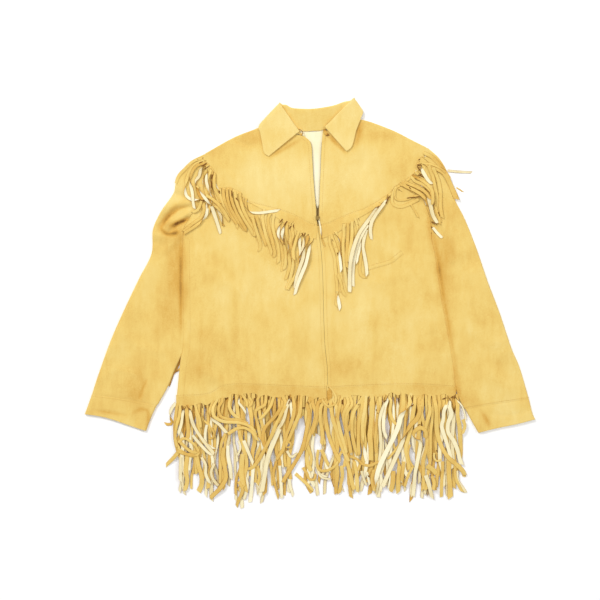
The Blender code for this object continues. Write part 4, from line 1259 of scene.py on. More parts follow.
# %% Hem, left half: from the lowest layer to the top
HEM_LEFT_PLAN = ((165, 360), 9.503)
HEM_LEFT_LOWER = [
    ("ccc", 9, [(150, 920), (150, 1020), (150, 1150)]),
    ("gggg", 11, [(215, 900), (200, 1060), (215, 1140), (190, 1240)]),
    ("ggggg", 12, [(300, 910), (320, 1000), (350, 1100), (350, 1180), (320, 1250)]),
    ("cccc", 8, [(350, 920), (390, 990), (390, 1080), (430, 1170)]),
    ("cccc", 8, [(470, 980), (440, 1060), (460, 1130), (510, 1190)]),
    ("gggggg", 11, [(560, 830), (550, 920), (570, 1020), (580, 1120), (520, 1220), (430, 1310)]),
    ("cccc", 9, [(600, 810), (600, 900), (620, 1020), (630, 1130)]),
    ("ccc", 6, [(660, 800), (680, 900), (690, 960)]),
    ("ccc", 6, [(700, 760), (720, 830), (690, 900)]),
    ("gggg", 13, [(740, 890), (730, 1000), (730, 1100), (750, 1200)]),
    ("gggg", 8, [(700, 1150), (740, 1230), (700, 1330), (680, 1390)]),
    ("ccc", 9, [(840, 1000), (830, 1150), (810, 1350)]),
    ("ggg", 8, [(880, 1000), (900, 1100), (880, 1180)]),
    ("cccc", 9, [(1000, 880), (960, 1030), (930, 1150), (900, 1290)]),
    ("gggg", 7, [(1060, 960), (1030, 1080), (1050, 1200), (1080, 1310)]),
    ("ccc", 8, [(1090, 1000), (1100, 1120), (1110, 1310)]),
    ("ccc", 8, [(1180, 1130), (1190, 1200), (1220, 1290)]),
    ("ccc", 7, [(1160, 860), (1200, 920), (1260, 880)]),
    ("ggg", 8, [(1350, 800), (1390, 920), (1380, 1000)]),
    ("cccc", 7, [(1450, 880), (1440, 1000), (1470, 1080), (1540, 1110)]),
    ("cccc", 7, [(1480, 850), (1520, 900), (1530, 1000), (1560, 1060)]),
    ("ggg", 8, [(1240, 1080), (1330, 1160), (1410, 1240)]),
    ("ggggg", 7, [(1310, 1020), (1350, 1080), (1370, 1130), (1420, 1130), (1430, 1080)]),
    ("ggg", 9, [(130, 870), (80, 930), (10, 1000)]),
    ("cccggg", 8, [(105, 410), (60, 470), (50, 540), (70, 600), (30, 612), (0, 605)]),
]
HEM_LEFT_ROOTED = [
    ("ggggg", 8, [(125, 400), (105, 520), (95, 640), (100, 760), (110, 830)]),
    ("ggggg", 8, [(150, 420), (140, 520), (110, 640), (100, 750), (125, 830)]),
    ("ccc", 8, [(175, 480), (160, 600), (130, 700)]),
    ("gggg", 10, [(205, 430), (215, 560), (225, 680), (215, 740)]),
    ("ggg", 8, [(300, 470), (330, 560), (340, 640)]),
    ("geegge", 6, [(350, 430), (345, 500), (375, 570), (425, 620), (440, 680), (455, 720)]),
    ("ccccc", 7, [(400, 610), (385, 700), (395, 790), (440, 820), (470, 840)]),
    ("gggg", 5, [(440, 640), (470, 690), (450, 740), (420, 745)]),
    ("ggggg", 8, [(620, 360), (610, 430), (640, 500), (700, 550), (740, 580)]),
    ("ccc", 6, [(700, 400), (740, 450), (770, 500)]),
    ("ggg", 7, [(735, 330), (780, 400), (775, 440)]),
    ("ggg", 7, [(800, 350), (830, 400), (800, 440)]),
    ("gggggg", 8, [(880, 370), (885, 430), (860, 500), (880, 600), (900, 700), (910, 760)]),
    ("gggg", 8, [(960, 340), (950, 420), (900, 450), (860, 480)]),
    ("gggg", 8, [(1030, 360), (1000, 440), (940, 520), (900, 560)]),
    ("cccc", 9, [(1160, 440), (1130, 560), (1070, 660), (1020, 760)]),
    ("ccccc", 12, [(1090, 650), (1010, 830), (970, 950), (950, 1080), (920, 1250)]),
    ("gggggg", 9, [(1090, 370), (1100, 440), (1040, 540), (950, 640), (930, 740), (950, 820)]),
    ("gggggg", 9, [(1230, 420), (1220, 520), (1190, 620), (1150, 720), (1120, 850), (1060, 940)]),
    ("ggggg", 9, [(1290, 420), (1280, 500), (1230, 620), (1180, 740), (1150, 800)]),
    ("gggg", 9, [(1460, 400), (1460, 520), (1420, 640), (1380, 700)]),
    ("gggggg", 9, [(1400, 400), (1430, 500), (1410, 620), (1370, 720), (1340, 800), (1320, 860)]),
    ("gggg", 8, [(1520, 470), (1500, 560), (1490, 700), (1520, 800)]),
    ("ggg", 6, [(1500, 400), (1540, 440), (1568, 450)]),
    ("ggggg", 5, [(1160, 770), (1200, 790), (1190, 820), (1160, 830), (1150, 800)]),
]
HEM_LEFT_TOP = [
    ("cccc", 8, [(265, 710), (330, 790), (420, 880), (455, 900)]),
    ("cccccc", 9, [(240, 490), (255, 560), (285, 640), (350, 740), (430, 840), (470, 885)]),
    ("gggcccc", 9, [(455, 400), (430, 480), (430, 510), (450, 555), (520, 610), (560, 660), (590, 690)]),
    ("gggggg", 8, [(550, 380), (510, 450), (530, 530), (620, 560), (720, 570), (790, 600)]),
    ("gggggggc", 8, [(490, 390), (460, 450), (470, 530), (560, 580), (700, 590), (800, 620), (860, 680),
        (900, 760)]),
    ("ggggg", 8, [(600, 700), (680, 650), (760, 640), (840, 690), (880, 760)]),
    ("ccc", 9, [(750, 760), (790, 860), (840, 980)]),
    ("gggggggg", 9, [(1150, 400), (1110, 500), (1060, 600), (1010, 720), (940, 860), (880, 960),
        (830, 1020), (790, 1030)]),
    ("gggggggg", 10, [(1350, 420), (1370, 500), (1350, 640), (1330, 740), (1300, 850), (1230, 980),
        (1140, 1120), (1120, 1160)]),
    ("ggggggggg", 7, [(130, 780), (180, 740), (260, 780), (310, 840), (320, 890), (260, 910), (190, 880),
        (130, 830), (150, 790)]),
    ("ggg", 8, [(120, 860), (200, 890), (290, 900)]),
    ("ggg", 8, [(150, 780), (240, 860), (310, 880)]),
]

# %% Hem, right half
HEM_RIGHT_PLAN = ((315, 360), 9.503)
HEM_RIGHT_LOWER = [
    ("gggg", 11, [(200, 980), (210, 1080), (200, 1180), (200, 1270)]),
    ("gggg", 9, [(250, 1000), (260, 1100), (240, 1200), (230, 1265)]),
    ("gggg", 10, [(300, 960), (330, 1060), (350, 1160), (370, 1230)]),
    ("gggg", 9, [(370, 960), (390, 1060), (400, 1160), (400, 1250)]),
    ("ccc", 7, [(440, 1050), (460, 1120), (490, 1190)]),
    ("ccc", 7, [(490, 1060), (505, 1120), (520, 1180)]),
    ("ggg", 9, [(560, 1040), (540, 1120), (560, 1240)]),
    ("ccc", 8, [(620, 1080), (630, 1160), (620, 1240)]),
    ("ggg", 12, [(740, 1050), (740, 1140), (720, 1250)]),
    ("ggg", 11, [(800, 1000), (790, 1120), (790, 1260)]),
    ("ggg", 9, [(840, 960), (830, 1060), (820, 1150)]),
    ("ggg", 7, [(930, 1000), (880, 1100), (850, 1200)]),
    ("ccc", 13, [(930, 1180), (925, 1240), (930, 1290)]),
    ("ggg", 14, [(1060, 1000), (1120, 1040), (1150, 1080)]),
    ("ccc", 11, [(1050, 1090), (1080, 1180), (1110, 1310)]),
    ("ggg", 9, [(1110, 1100), (1130, 1160), (1120, 1230)]),
    ("gggg", 8, [(1210, 960), (1210, 1060), (1200, 1160), (1200, 1300)]),
    ("gggg", 13, [(1270, 950), (1270, 1080), (1280, 1180), (1285, 1310)]),
    ("cccc", 10, [(1340, 1050), (1350, 1140), (1390, 1200), (1430, 1260)]),
    ("ggg", 8, [(1370, 1000), (1400, 1060), (1420, 1110)]),
    ("gggg", 8, [(1330, 1000), (1330, 1100), (1370, 1200), (1400, 1250)]),
    ("ccc", 6, [(10, 1000), (60, 1110), (150, 1130)]),
    ("ggg", 8, [(60, 850), (90, 920), (130, 1000)]),
    ("gggggg", 7, [(30, 850), (20, 950), (40, 1040), (110, 1050), (180, 1010), (220, 960)]),
]
HEM_RIGHT_ROOTED = [
    ("gggg", 9, [(30, 400), (20, 500), (0, 600), (-30, 700)]),
    ("gggg", 9, [(60, 430), (50, 560), (70, 700), (60, 800)]),
    ("gggggg", 10, [(100, 440), (100, 560), (120, 680), (160, 800), (200, 890), (240, 960)]),
    ("gggggg", 10, [(150, 440), (170, 560), (210, 680), (250, 800), (290, 900), (320, 960)]),
    ("ggggg", 9, [(200, 440), (215, 560), (240, 680), (270, 780), (300, 880)]),
    ("gggg", 8, [(250, 370), (235, 430), (220, 500), (215, 560)]),
    ("gggggg", 9, [(320, 400), (290, 460), (270, 520), (290, 640), (320, 760), (340, 880)]),
    ("ggggg", 8, [(335, 350), (350, 420), (310, 480), (290, 560), (300, 660)]),
    ("gggggg", 9, [(410, 420), (370, 480), (350, 560), (350, 680), (370, 800), (400, 900)]),
    ("gggggg", 9, [(450, 380), (440, 480), (420, 560), (410, 680), (410, 800), (420, 900)]),
    ("gggggcc", 9, [(480, 380), (470, 480), (450, 580), (450, 700), (460, 820), (475, 900), (485, 950)]),
    ("gggggg", 8, [(580, 360), (600, 440), (590, 540), (580, 660), (570, 760), (580, 880)]),
    ("gggggg", 13, [(540, 340), (540, 480), (530, 600), (520, 720), (530, 840), (530, 950)]),
    ("ccccc", 9, [(690, 360), (660, 450), (650, 560), (650, 660), (680, 740)]),
    ("gcccccc", 8, [(650, 420), (620, 520), (610, 600), (620, 720), (622, 840), (615, 900), (610, 960)]),
    ("gggg", 8, [(720, 380), (710, 480), (730, 560), (770, 610)]),
    ("ggg", 12, [(835, 300), (835, 420), (820, 500)]),
    ("ggggg", 9, [(1000, 340), (1000, 460), (1020, 560), (1040, 640), (1040, 740)]),
    ("gggg", 9, [(1080, 380), (1090, 480), (1060, 580), (1040, 680)]),
    ("ggg", 8, [(1180, 400), (1170, 520), (1190, 640)]),
    ("ggg", 7, [(1250, 350), (1250, 400), (1245, 440)]),
    ("gggggg", 11, [(1350, 400), (1350, 520), (1370, 640), (1380, 760), (1385, 880), (1370, 970)]),
    ("cccc", 4, [(1340, 370), (1390, 430), (1420, 510), (1430, 570)]),
    ("ggg", 8, [(1400, 560), (1420, 620), (1400, 700)]),
    ("gggg", 5, [(900, 800), (880, 880), (900, 960), (930, 1010)]),
    ("gggg", 5, [(1130, 880), (1130, 930), (1160, 960), (1200, 940)]),
]
HEM_RIGHT_TOP = [
    ("gggg", 6, [(880, 660), (800, 800), (740, 880), (690, 940)]),
    ("gcccccc", 10, [(1220, 480), (1215, 560), (1200, 620), (1220, 700), (1240, 760), (1270, 860),
        (1290, 950)]),
    ("cccccccc", 11, [(1270, 440), (1290, 500), (1260, 600), (1260, 680), (1310, 760), (1350, 850),
        (1370, 930), (1390, 990)]),
    ("ggggggggg", 11, [(1130, 360), (1150, 480), (1150, 580), (1160, 700), (1200, 820), (1260, 920),
        (1330, 980), (1400, 1050), (1420, 1090)]),
    ("gggggg", 7, [(330, 910), (400, 940), (450, 985), (520, 1000), (590, 970), (640, 960)]),
    ("ggggccccc", 11, [(990, 480), (960, 560), (900, 620), (850, 720), (800, 840), (760, 930),
        (720, 1020), (680, 1110), (640, 1200)]),
    ("ggcccccccg", 12, [(900, 400), (850, 480), (810, 540), (790, 620), (740, 740), (690, 840),
        (640, 940), (600, 1040), (570, 1170), (560, 1240)]),
    ("ggggcccccccc", 10, [(1050, 735), (1050, 680), (1010, 640), (960, 655), (932, 700), (955, 745),
        (995, 770), (990, 860), (970, 960), (950, 1060), (940, 1180), (930, 1290)]),
    ("ss", 13, [(139, 262), (139, 372)]),
    ("gggggg", 5, [(120, 240), (175, 300), (200, 370), (170, 430), (110, 430), (65, 370)]),
]

# %% The bands of the hem and their strips
HEM_BAND_DEEP = 21.0
BACK_BAND_DEEP = 20.0
BACK_STRIPS, FRONT_STRIPS = 76, 36
BACK_LEVEL, BAND_LEVEL = 0.75, 4.6
HANGING_STEPS = 8
FURTHEST_SWING = 24
LEAST_PART = 8
ROOTS_WITHIN = 34.0
OPEN_PLACES = [
    # x and y in pixels of the photograph, radius in mm
    (302, 421, 6),
    (300, 432, 9),
    (299, 443, 9),
    (317, 438, 5),
    (328.5, 446, 6),
    (329, 455, 6),
    (231, 447, 4),
    (284, 470, 5),
    (345, 472, 5),
    (412, 455, 6),
]
HEM_ENDS = [(-296, -392), (-272, -419), (-205, -432), (-158, -449), (-90, -428), (-20, -420), (45, -412),
            (110, -424), (190, -420), (270, -430), (322, -410)]


def hanging(x, top_y, end_y, drift, cream_share):
    """A strip that hangs straight, but for a slow wave, down from x at the band."""
    swing = rng.normal(0, 6.0, HANGING_STEPS).cumsum() * even(HANGING_STEPS - 1)
    swing = np.clip(swing, -FURTHEST_SWING, FURTHEST_SWING)
    line = np.stack([x + drift * even(HANGING_STEPS - 1) + swing, np.linspace(top_y, end_y, HANGING_STEPS)],
                    axis=1)
    is_cream, turns = rng.random() < cream_share, rng.random() < 0.3
    golden = int(rng.integers(1, 5)) if is_cream or turns else HANGING_STEPS
    return "g" * golden + "c" * (HANGING_STEPS - golden), rng.uniform(6.5, 10.5), line


def above_open_places(line):
    """The part of a strip's line above the first place where the white sheet shows between the strips."""
    fine = at_shares(line, even(60))
    for x, y, radius in OPEN_PLACES:
        covering = np.linalg.norm(fine - on_plan([(x, y)], *PHOTOGRAPH), axis=1) < radius + 2
        if covering.any():
            fine = fine[:max(int(np.argmax(covering)), 1)]
    return at_shares(fine, even(len(line) - 1)) if len(fine) > LEAST_PART else None


def band_depth(x, deep):
    """How deep a band is at x: the cuts between the strips don't all end at one line."""
    return deep + 2.4 * np.sin(x / 17.0) + 2.0 * np.sin(x / 6.1 + 1.0) + 1.4 * np.sin(x / 3.7)


def level_band(line, deep, tucked, start, end):
    """A band below a hem line, tucked this far under the hide above it, that bends to its end level."""
    share = np.array((-tucked / deep, -0.05, 0.12, 0.4, 0.7, 1.0))[:, None]
    depth = share * band_depth(line[:, 0], deep)
    plan = line[None] - np.stack([np.zeros_like(depth), depth], axis=-1)
    height = start + (end - start) * np.clip(share / 0.7, 0, 1) + np.zeros(len(line))
    return with_height(plan, height)


def strips_by_rule(places, shorter, band_end, cream_share, level):
    """Strips that hang from a band at these places along x, cut off above the open places."""
    laying = []
    for x in places:
        end_y = np.interp(x, hem_ends[:, 0], hem_ends[:, 1]) + rng.uniform(*shorter)
        codes, wide, line = hanging(x, hem_y(x) - band_end, end_y, rng.normal(-4, 9), cream_share)
        line = above_open_places(line)
        if line is not None:
            laying.append((codes, wide, line, level))
    return laying


hem_ends = np.array(HEM_ENDS, float)
back_line = at_shares(hem_line, even(240)) - (0, 0.3)
laying = strips_by_rule(np.linspace(-286, 316, BACK_STRIPS), (-12, 34), BACK_BAND_DEEP - 4, 0.42, 1.5)
fringe("hem_fringe_back_strips", laying, ["hem_fringe_back"],
       [level_band(back_line, BACK_BAND_DEEP, 0.0, BACK_LEVEL, BACK_LEVEL)])

HEM_SIDES = [
    # name, outward, plan, strips
    ("left", -1, HEM_LEFT_PLAN, HEM_LEFT_LOWER, HEM_LEFT_ROOTED + HEM_LEFT_TOP),
    ("right", 1, HEM_RIGHT_PLAN, HEM_RIGHT_LOWER, HEM_RIGHT_ROOTED + HEM_RIGHT_TOP),
]
for name, outward, plan, lower, upper in HEM_SIDES:
    start = hem_half(outward, 160) + (outward, -0.3)
    band = level_band(start, HEM_BAND_DEEP, 4.0, surface(start[:, 0], start[:, 1]) - 1.0, BAND_LEVEL)
    band_edge = start - np.stack([np.zeros(len(start)), band_depth(start[:, 0], HEM_BAND_DEEP)], axis=1)
    places = np.linspace(start[0][0] + outward * 6, start[-1][0] - outward * 4, FRONT_STRIPS)
    laying = strips_by_rule(places, (8, 60), HEM_BAND_DEEP - 5, 0.12, BAND_LEVEL - 0.3)
    laying += strips_on_plan(lower, plan)
    laying += strips_on_plan(upper, plan, band_edge, ROOTS_WITHIN, lambda root: BAND_LEVEL + 0.7)
    fringe(f"hem_fringe_{name}_strips", laying, [f"hem_fringe_front_{name}"],
           [band])

# %% [markdown]
# ## The fringe of the yoke
# The same kind of band is sewn into the V of the yoke seam. Its strips lie over the fronts and spread
# over the tops of the sleeves, where several have slid off the hide altogether.

# %% Yoke, left half
YOKE_LEFT_PLAN = ((160, 95), 9.2235)
YOKE_LEFT = [
    ("ggggg", 8, [(375, 590), (300, 620), (230, 690), (175, 750), (150, 820)]),
    ("gggggcccg", 8, [(395, 612), (330, 640), (280, 700), (250, 780), (235, 860), (245, 930), (290, 965),
        (350, 970), (405, 965)]),
    ("ggggcccc", 8, [(410, 630), (350, 650), (310, 690), (290, 740), (280, 800), (300, 900), (310, 1000),
        (320, 1050)]),
    ("gcccggg", 9, [(425, 650), (380, 690), (365, 750), (330, 800), (345, 860), (370, 930), (400, 970)]),
    ("ggcggcc", 8, [(440, 665), (420, 720), (400, 790), (410, 860), (440, 930), (430, 1040), (425, 1110)]),
    ("gcccg", 8, [(455, 690), (435, 740), (430, 800), (450, 870), (470, 930)]),
    ("ggeecgg", 8, [(470, 700), (450, 760), (470, 830), (460, 900), (480, 960), (460, 1040), (440, 1110)]),
    ("geeeg", 7, [(490, 710), (480, 780), (480, 850), (500, 930), (520, 1000)]),
    ("ggggg", 8, [(505, 720), (500, 800), (510, 870), (540, 930), (570, 1000)]),
    ("cccc", 9, [(480, 1030), (500, 1090), (530, 1180), (560, 1280)]),
    ("cccg", 8, [(530, 1040), (560, 1120), (580, 1190), (590, 1210)]),
    ("ggggg", 8, [(400, 1000), (410, 1060), (380, 1130), (300, 1190), (220, 1260)]),
    ("ccggg", 8, [(440, 1050), (430, 1110), (380, 1170), (300, 1230), (225, 1275)]),
    ("gggg", 7, [(385, 980), (370, 1030), (340, 1070), (300, 1085)]),
    ("gggggg", 8, [(555, 870), (560, 940), (590, 1010), (640, 1100), (700, 1180), (720, 1225)]),
    ("ggggg", 8, [(585, 865), (590, 940), (610, 1010), (650, 1090), (710, 1190)]),
    ("gggggg", 8, [(620, 870), (625, 950), (650, 1040), (700, 1130), (760, 1220), (790, 1260)]),
    ("ggggg", 8, [(655, 880), (660, 960), (690, 1050), (740, 1150), (800, 1250)]),
    ("gggggg", 8, [(695, 910), (700, 960), (730, 1050), (780, 1150), (850, 1260), (870, 1310)]),
    ("gggggg", 8, [(740, 920), (745, 970), (770, 1060), (820, 1160), (880, 1260), (870, 1305)]),
    ("gccggg", 8, [(345, 840), (400, 930), (470, 1010), (530, 1040), (590, 1100), (640, 1170)]),
    ("ggggg", 8, [(430, 930), (480, 960), (540, 1010), (600, 1090), (640, 1160)]),
]
YOKE_LEFT_ON_YOKE = [
    ("ggcccc", 7, [(790, 985), (800, 1040), (830, 1080), (900, 1090), (1000, 1080), (1100, 1065)]),
]

# %% Yoke, middle
YOKE_MIDDLE_PLAN = ((250, 200), 12.06)
YOKE_MIDDLE_LEFT = [
    ("gggggg", 8, [(30, 200), (50, 280), (80, 380), (110, 470), (130, 560), (110, 620)]),
    ("ggggg", 8, [(75, 190), (110, 300), (150, 420), (180, 500), (195, 550)]),
    ("gggggg", 8, [(150, 190), (165, 300), (190, 420), (230, 540), (260, 640), (250, 660)]),
    ("gggggg", 8, [(225, 200), (225, 310), (250, 420), (280, 540), (300, 640), (290, 690)]),
    ("gggggg", 8, [(285, 210), (275, 300), (290, 400), (330, 520), (350, 640), (340, 760)]),
    ("gccgggg", 8, [(370, 260), (350, 340), (340, 420), (370, 520), (390, 620), (400, 740), (385, 860)]),
    ("gccgggg", 8, [(420, 270), (400, 350), (385, 440), (410, 540), (430, 640), (430, 760), (410, 840)]),
    ("gggcgggg", 8, [(450, 290), (440, 370), (450, 460), (465, 560), (470, 680), (480, 800), (450, 900),
        (430, 960)]),
    ("gggeegggg", 8, [(520, 260), (500, 330), (520, 420), (510, 520), (510, 640), (520, 760), (500, 880),
        (470, 1000), (440, 1080)]),
    ("gggg", 8, [(570, 430), (545, 520), (520, 620), (530, 720)]),
    ("gcccgggg", 8, [(620, 400), (600, 480), (600, 560), (610, 640), (590, 760), (560, 880), (500, 990),
        (450, 1080)]),
    ("gccg", 7, [(660, 410), (650, 480), (640, 560), (600, 700)]),
    ("ggccccc", 9, [(700, 430), (680, 520), (650, 620), (640, 700), (600, 820), (560, 940), (540, 1070)]),
    ("gcccccc", 9, [(740, 480), (720, 560), (700, 660), (670, 780), (620, 900), (570, 1030), (540, 1140)]),
]
YOKE_MIDDLE_RIGHT = [
    ("gggggggg", 8, [(960, 430), (960, 520), (990, 600), (1020, 700), (1030, 820), (1040, 940),
        (1050, 1100), (1040, 1280)]),
    ("gggggg", 8, [(1000, 480), (1040, 600), (1060, 720), (1080, 860), (1100, 980), (1100, 1100)]),
    ("gcgccc", 8, [(1040, 400), (1070, 470), (1090, 560), (1080, 660), (1090, 760), (1100, 860)]),
    ("gggg", 8, [(1060, 900), (1100, 1020), (1120, 1110), (1160, 1160)]),
    ("gccc", 8, [(1050, 1100), (1060, 1180), (1075, 1260), (1085, 1320)]),
    ("ggggggg", 8, [(1130, 300), (1130, 420), (1120, 560), (1130, 700), (1140, 840), (1160, 980),
        (1190, 1120)]),
    ("ggggg", 8, [(1180, 300), (1180, 420), (1170, 560), (1160, 700), (1170, 820)]),
    ("ggggg", 8, [(1230, 280), (1230, 400), (1220, 500), (1200, 620), (1190, 740)]),
    ("ggg", 7, [(1270, 240), (1290, 300), (1300, 360)]),
    ("ggggg", 8, [(1340, 620), (1330, 740), (1320, 860), (1350, 920), (1400, 930)]),
    ("cccc", 8, [(1320, 500), (1310, 620), (1290, 700), (1290, 760)]),
    ("cccccc", 9, [(1400, 360), (1370, 480), (1360, 560), (1380, 680), (1400, 800), (1410, 910)]),
    ("ccccccc", 9, [(1420, 300), (1370, 380), (1310, 500), (1270, 620), (1250, 740), (1240, 880),
        (1240, 1040)]),
    ("cccccccccc", 10, [(1560, 60), (1460, 200), (1400, 280), (1330, 380), (1280, 480), (1240, 600),
        (1210, 740), (1200, 880), (1200, 1000), (1200, 1110)]),
]

# %% Yoke, right half
YOKE_RIGHT_PLAN = ((310, 90), 9.2235)
YOKE_RIGHT = [
    ("cccccc", 9, [(720, 990), (680, 1050), (620, 1130), (570, 1210), (555, 1290), (565, 1380)]),
    ("gggg", 7, [(830, 870), (900, 910), (970, 950), (1030, 985)]),
    ("gggggg", 8, [(790, 900), (760, 970), (760, 1050), (820, 1080), (900, 1060), (1000, 1010)]),
    ("gggggggcc", 5, [(795, 900), (780, 950), (790, 1010), (840, 1020), (900, 1010), (960, 980),
        (1030, 985), (1050, 1010), (1070, 1060)]),
    ("ggggg", 8, [(870, 880), (950, 930), (1020, 960), (1060, 1010), (1090, 1060)]),
    ("ggg", 8, [(1000, 780), (1060, 830), (1110, 870)]),
    ("cccc", 9, [(1010, 700), (1040, 760), (1090, 840), (1120, 870)]),
    ("ggggg", 9, [(1060, 590), (1120, 620), (1180, 680), (1230, 740), (1290, 830)]),
    ("gggggg", 13, [(1030, 650), (1100, 700), (1230, 760), (1280, 850), (1320, 940), (1350, 1010)]),
    ("gggg", 6, [(1050, 680), (1120, 690), (1190, 720), (1240, 760)]),
    ("gggggg", 9, [(1090, 700), (1130, 800), (1150, 900), (1170, 1000), (1180, 1100), (1200, 1220)]),
    ("ggggg", 9, [(1130, 720), (1180, 840), (1200, 960), (1200, 1080), (1215, 1180)]),
    ("ccc", 6, [(1020, 880), (1080, 890), (1120, 900)]),
    ("gcccc", 10, [(1080, 930), (1090, 1000), (1110, 1080), (1130, 1160), (1170, 1230)]),
    ("gggg", 6, [(1140, 1000), (1160, 1100), (1190, 1200), (1190, 1240)]),
    ("ccc", 8, [(1130, 1270), (1170, 1320), (1215, 1365)]),
    ("ggg", 5, [(930, 1060), (960, 1110), (1000, 1180)]),
    ("gggg", 8, [(850, 880), (930, 915), (1010, 960), (1060, 1010)]),
    ("gggg", 8, [(900, 865), (985, 900), (1060, 945), (1105, 1010)]),
    ("gggg", 8, [(960, 840), (1050, 880), (1110, 940), (1130, 1020)]),
    ("bggg", 8, [(980, 810), (1060, 860), (1120, 930), (1125, 1060)]),
]
BACK_UPPER = [("ccc", 6, [(1270, 745), (1380, 755), (1490, 760)])]
BACK_LOWER = [("gg", 3, [(1350, 900), (1380, 918), (1410, 940)])]

# %% The bands of the yoke and their strips
SLOTS_LEFT = [(316, 239), (309, 238), (301, 234), (293, 228), (284.7, 223), (270.6, 214), (252, 204),
              (240, 196), (230, 191), (216, 190), (211, 176), (206, 166), (202, 159)]
SLOTS_RIGHT = [(320, 239), (330, 236), (336, 233.5), (355, 220.5), (375, 208.5), (388, 197.5), (396.7, 189),
               (408, 181), (417, 172.5), (419.5, 166), (421.7, 161), (426, 154)]
YOKE_BAND_RISE = 1.2
YOKE_BAND_STEPS = 70
YOKE_ROOTS_WITHIN = 14


def yoke_band(seam_points, slot_points):
    """The band between a yoke seam and the slots where its strips begin, and the line of the slots."""
    seam = edge(seam_points, YOKE_BAND_STEPS)
    slots = edge(on_plan(slot_points, *PHOTOGRAPH), YOKE_BAND_STEPS)
    share = even(6)[:, None, None]
    plan = (1 - share) * seam[None] + share * slots[None]
    band = raised(plan)
    band[..., 2] += YOKE_BAND_RISE * np.sqrt(share[..., 0]) - 0.4
    return band, slots


def root_level_of_yoke(root):
    """The level at which a strip leaves the band of the yoke."""
    return float(surface(root[:1], root[1:])[0]) + YOKE_BAND_RISE + 0.6


YOKES = [
    # name, seam, slots, plans and their strips
    ("left", YOKE_SEAM_LEFT, SLOTS_LEFT, [(YOKE_LEFT_PLAN, YOKE_LEFT), (YOKE_MIDDLE_PLAN, YOKE_MIDDLE_LEFT),
                                          (YOKE_LEFT_PLAN, YOKE_LEFT_ON_YOKE)]),
    ("right", YOKE_SEAM_RIGHT, SLOTS_RIGHT, [(YOKE_MIDDLE_PLAN, YOKE_MIDDLE_RIGHT),
                                             (YOKE_RIGHT_PLAN, YOKE_RIGHT)]),
]
for name, seam_points, slot_points, layers in YOKES:
    band, slots = yoke_band(seam_points, slot_points)
    laying = []
    for plan, rows in layers:
        laying += strips_on_plan(rows, plan, slots, YOKE_ROOTS_WITHIN, root_level_of_yoke, 4.0)
    fringe(f"yoke_fringe_{name}_strips", laying, [f"yoke_fringe_{name}"],
           [band])

# %% Strips of the back's own fringe, and those beside the left cuff
SLEEVE_STRIPS = [
    ("bbb", 9, [(181, 355), (178.4, 363), (174, 372)]),
    ("gbb", 5, [(180.5, 368), (177.5, 370.5), (173, 373)]),
    ("bbb", 9, [(174, 370), (171, 378), (168.5, 385)]),
]
LOOSE = [
    # name, strips, plan, CAD node, thickness
    ("back_fringe_upper_strip", BACK_UPPER, YOKE_RIGHT_PLAN, "back_fringe_upper", STRIP_WALL),
    ("back_fringe_lower_strip", BACK_LOWER, YOKE_RIGHT_PLAN, "back_fringe_lower", 0.6),
    ("sleeve_fringe_left_strips", SLEEVE_STRIPS, PHOTOGRAPH, "sleeve_fringe_left", STRIP_WALL),
]
for name, rows, plan, node, wall in LOOSE:
    fringe(name, strips_on_plan(rows, plan), [node], wall=wall, on=floor_tops)

# %% Strips painted in deep shade for the gaps between the strips, and the curled ends of the collar's stand
GAP_WIDE = 2.6
GAP_WALL = 0.4
PAINTED_GAP_SHADE = [
    # plan, then the two ends of each gap
    (((150, 90), 7.84), [
        [(375, 548), (412, 534)], [(388, 576), (430, 556)], [(405, 602), (447, 578)],
        [(430, 625), (462, 600)], [(488, 665), (485, 702)], [(486, 718), (484, 770)],
        [(545, 790), (552, 825)], [(577, 790), (580, 832)], [(640, 785), (646, 845)],
        [(675, 848), (692, 872)], [(707, 820), (711, 838)], [(390, 870), (432, 873)],
        [(1040, 1012), (1020, 1040)], [(1076, 1030), (1052, 1062)], [(1110, 1065), (1092, 1090)],
        [(1122, 1048), (1126, 1080)], [(1217, 1120), (1208, 1145)], [(1242, 1132), (1230, 1156)],
        [(1190, 1122), (1198, 1142)], [(1050, 1165), (1053, 1215)],
    ]),
    (((310, 90), 7.84), [
        [(850, 546), (888, 562)], [(838, 590), (872, 592)], [(838, 600), (862, 640)],
        [(832, 648), (880, 672)], [(846, 668), (935, 705)], [(705, 742), (728, 760)],
        [(775, 765), (790, 782)], [(692, 782), (722, 800)], [(592, 893), (620, 835)],
        [(175, 1172), (205, 1240)], [(208, 1252), (216, 1290)], [(352, 1032), (376, 1062)],
        [(378, 1002), (386, 1030)], [(950, 1035), (985, 1052)], [(948, 1072), (985, 1128)],
        [(965, 860), (968, 905)], [(1000, 960), (1015, 1010)], [(895, 775), (915, 800)],
        [(760, 850), (850, 838)],
    ]),
    (((150, 330), 7.84), [
        [(216, 572), (204, 612)], [(252, 590), (256, 640)], [(405, 572), (412, 610)],
        [(600, 545), (620, 516)], [(652, 548), (662, 528)], [(938, 508), (930, 545)],
        [(1096, 552), (1086, 580)], [(1190, 606), (1216, 610)], [(1236, 560), (1241, 580)],
        [(1508, 545), (1504, 576)], [(230, 885), (240, 920)], [(318, 925), (324, 945)],
        [(820, 525), (818, 560)], [(735, 520), (722, 545)],
    ]),
    (((310, 330), 7.84), [
        [(250, 548), (258, 582)], [(366, 600), (380, 580)], [(516, 620), (532, 655)],
        [(790, 594), (815, 576)], [(1036, 542), (1066, 530)], [(1104, 530), (1122, 518)],
        [(1130, 534), (1136, 506)], [(580, 562), (592, 548)], [(990, 940), (1004, 960)],
        [(840, 745), (862, 735)], [(450, 1130), (462, 1150)],
    ]),
]
# Each gap is a thin strip painted in deep shade (letter k), laid flush with the strips beside it.
laying = [("kk", GAP_WIDE, on_plan(ends, *plan), None) for plan, gaps in PAINTED_GAP_SHADE for ends in gaps]
fringe("painted_shade_in_fringe_gaps", laying, [],
       wall=GAP_WALL)

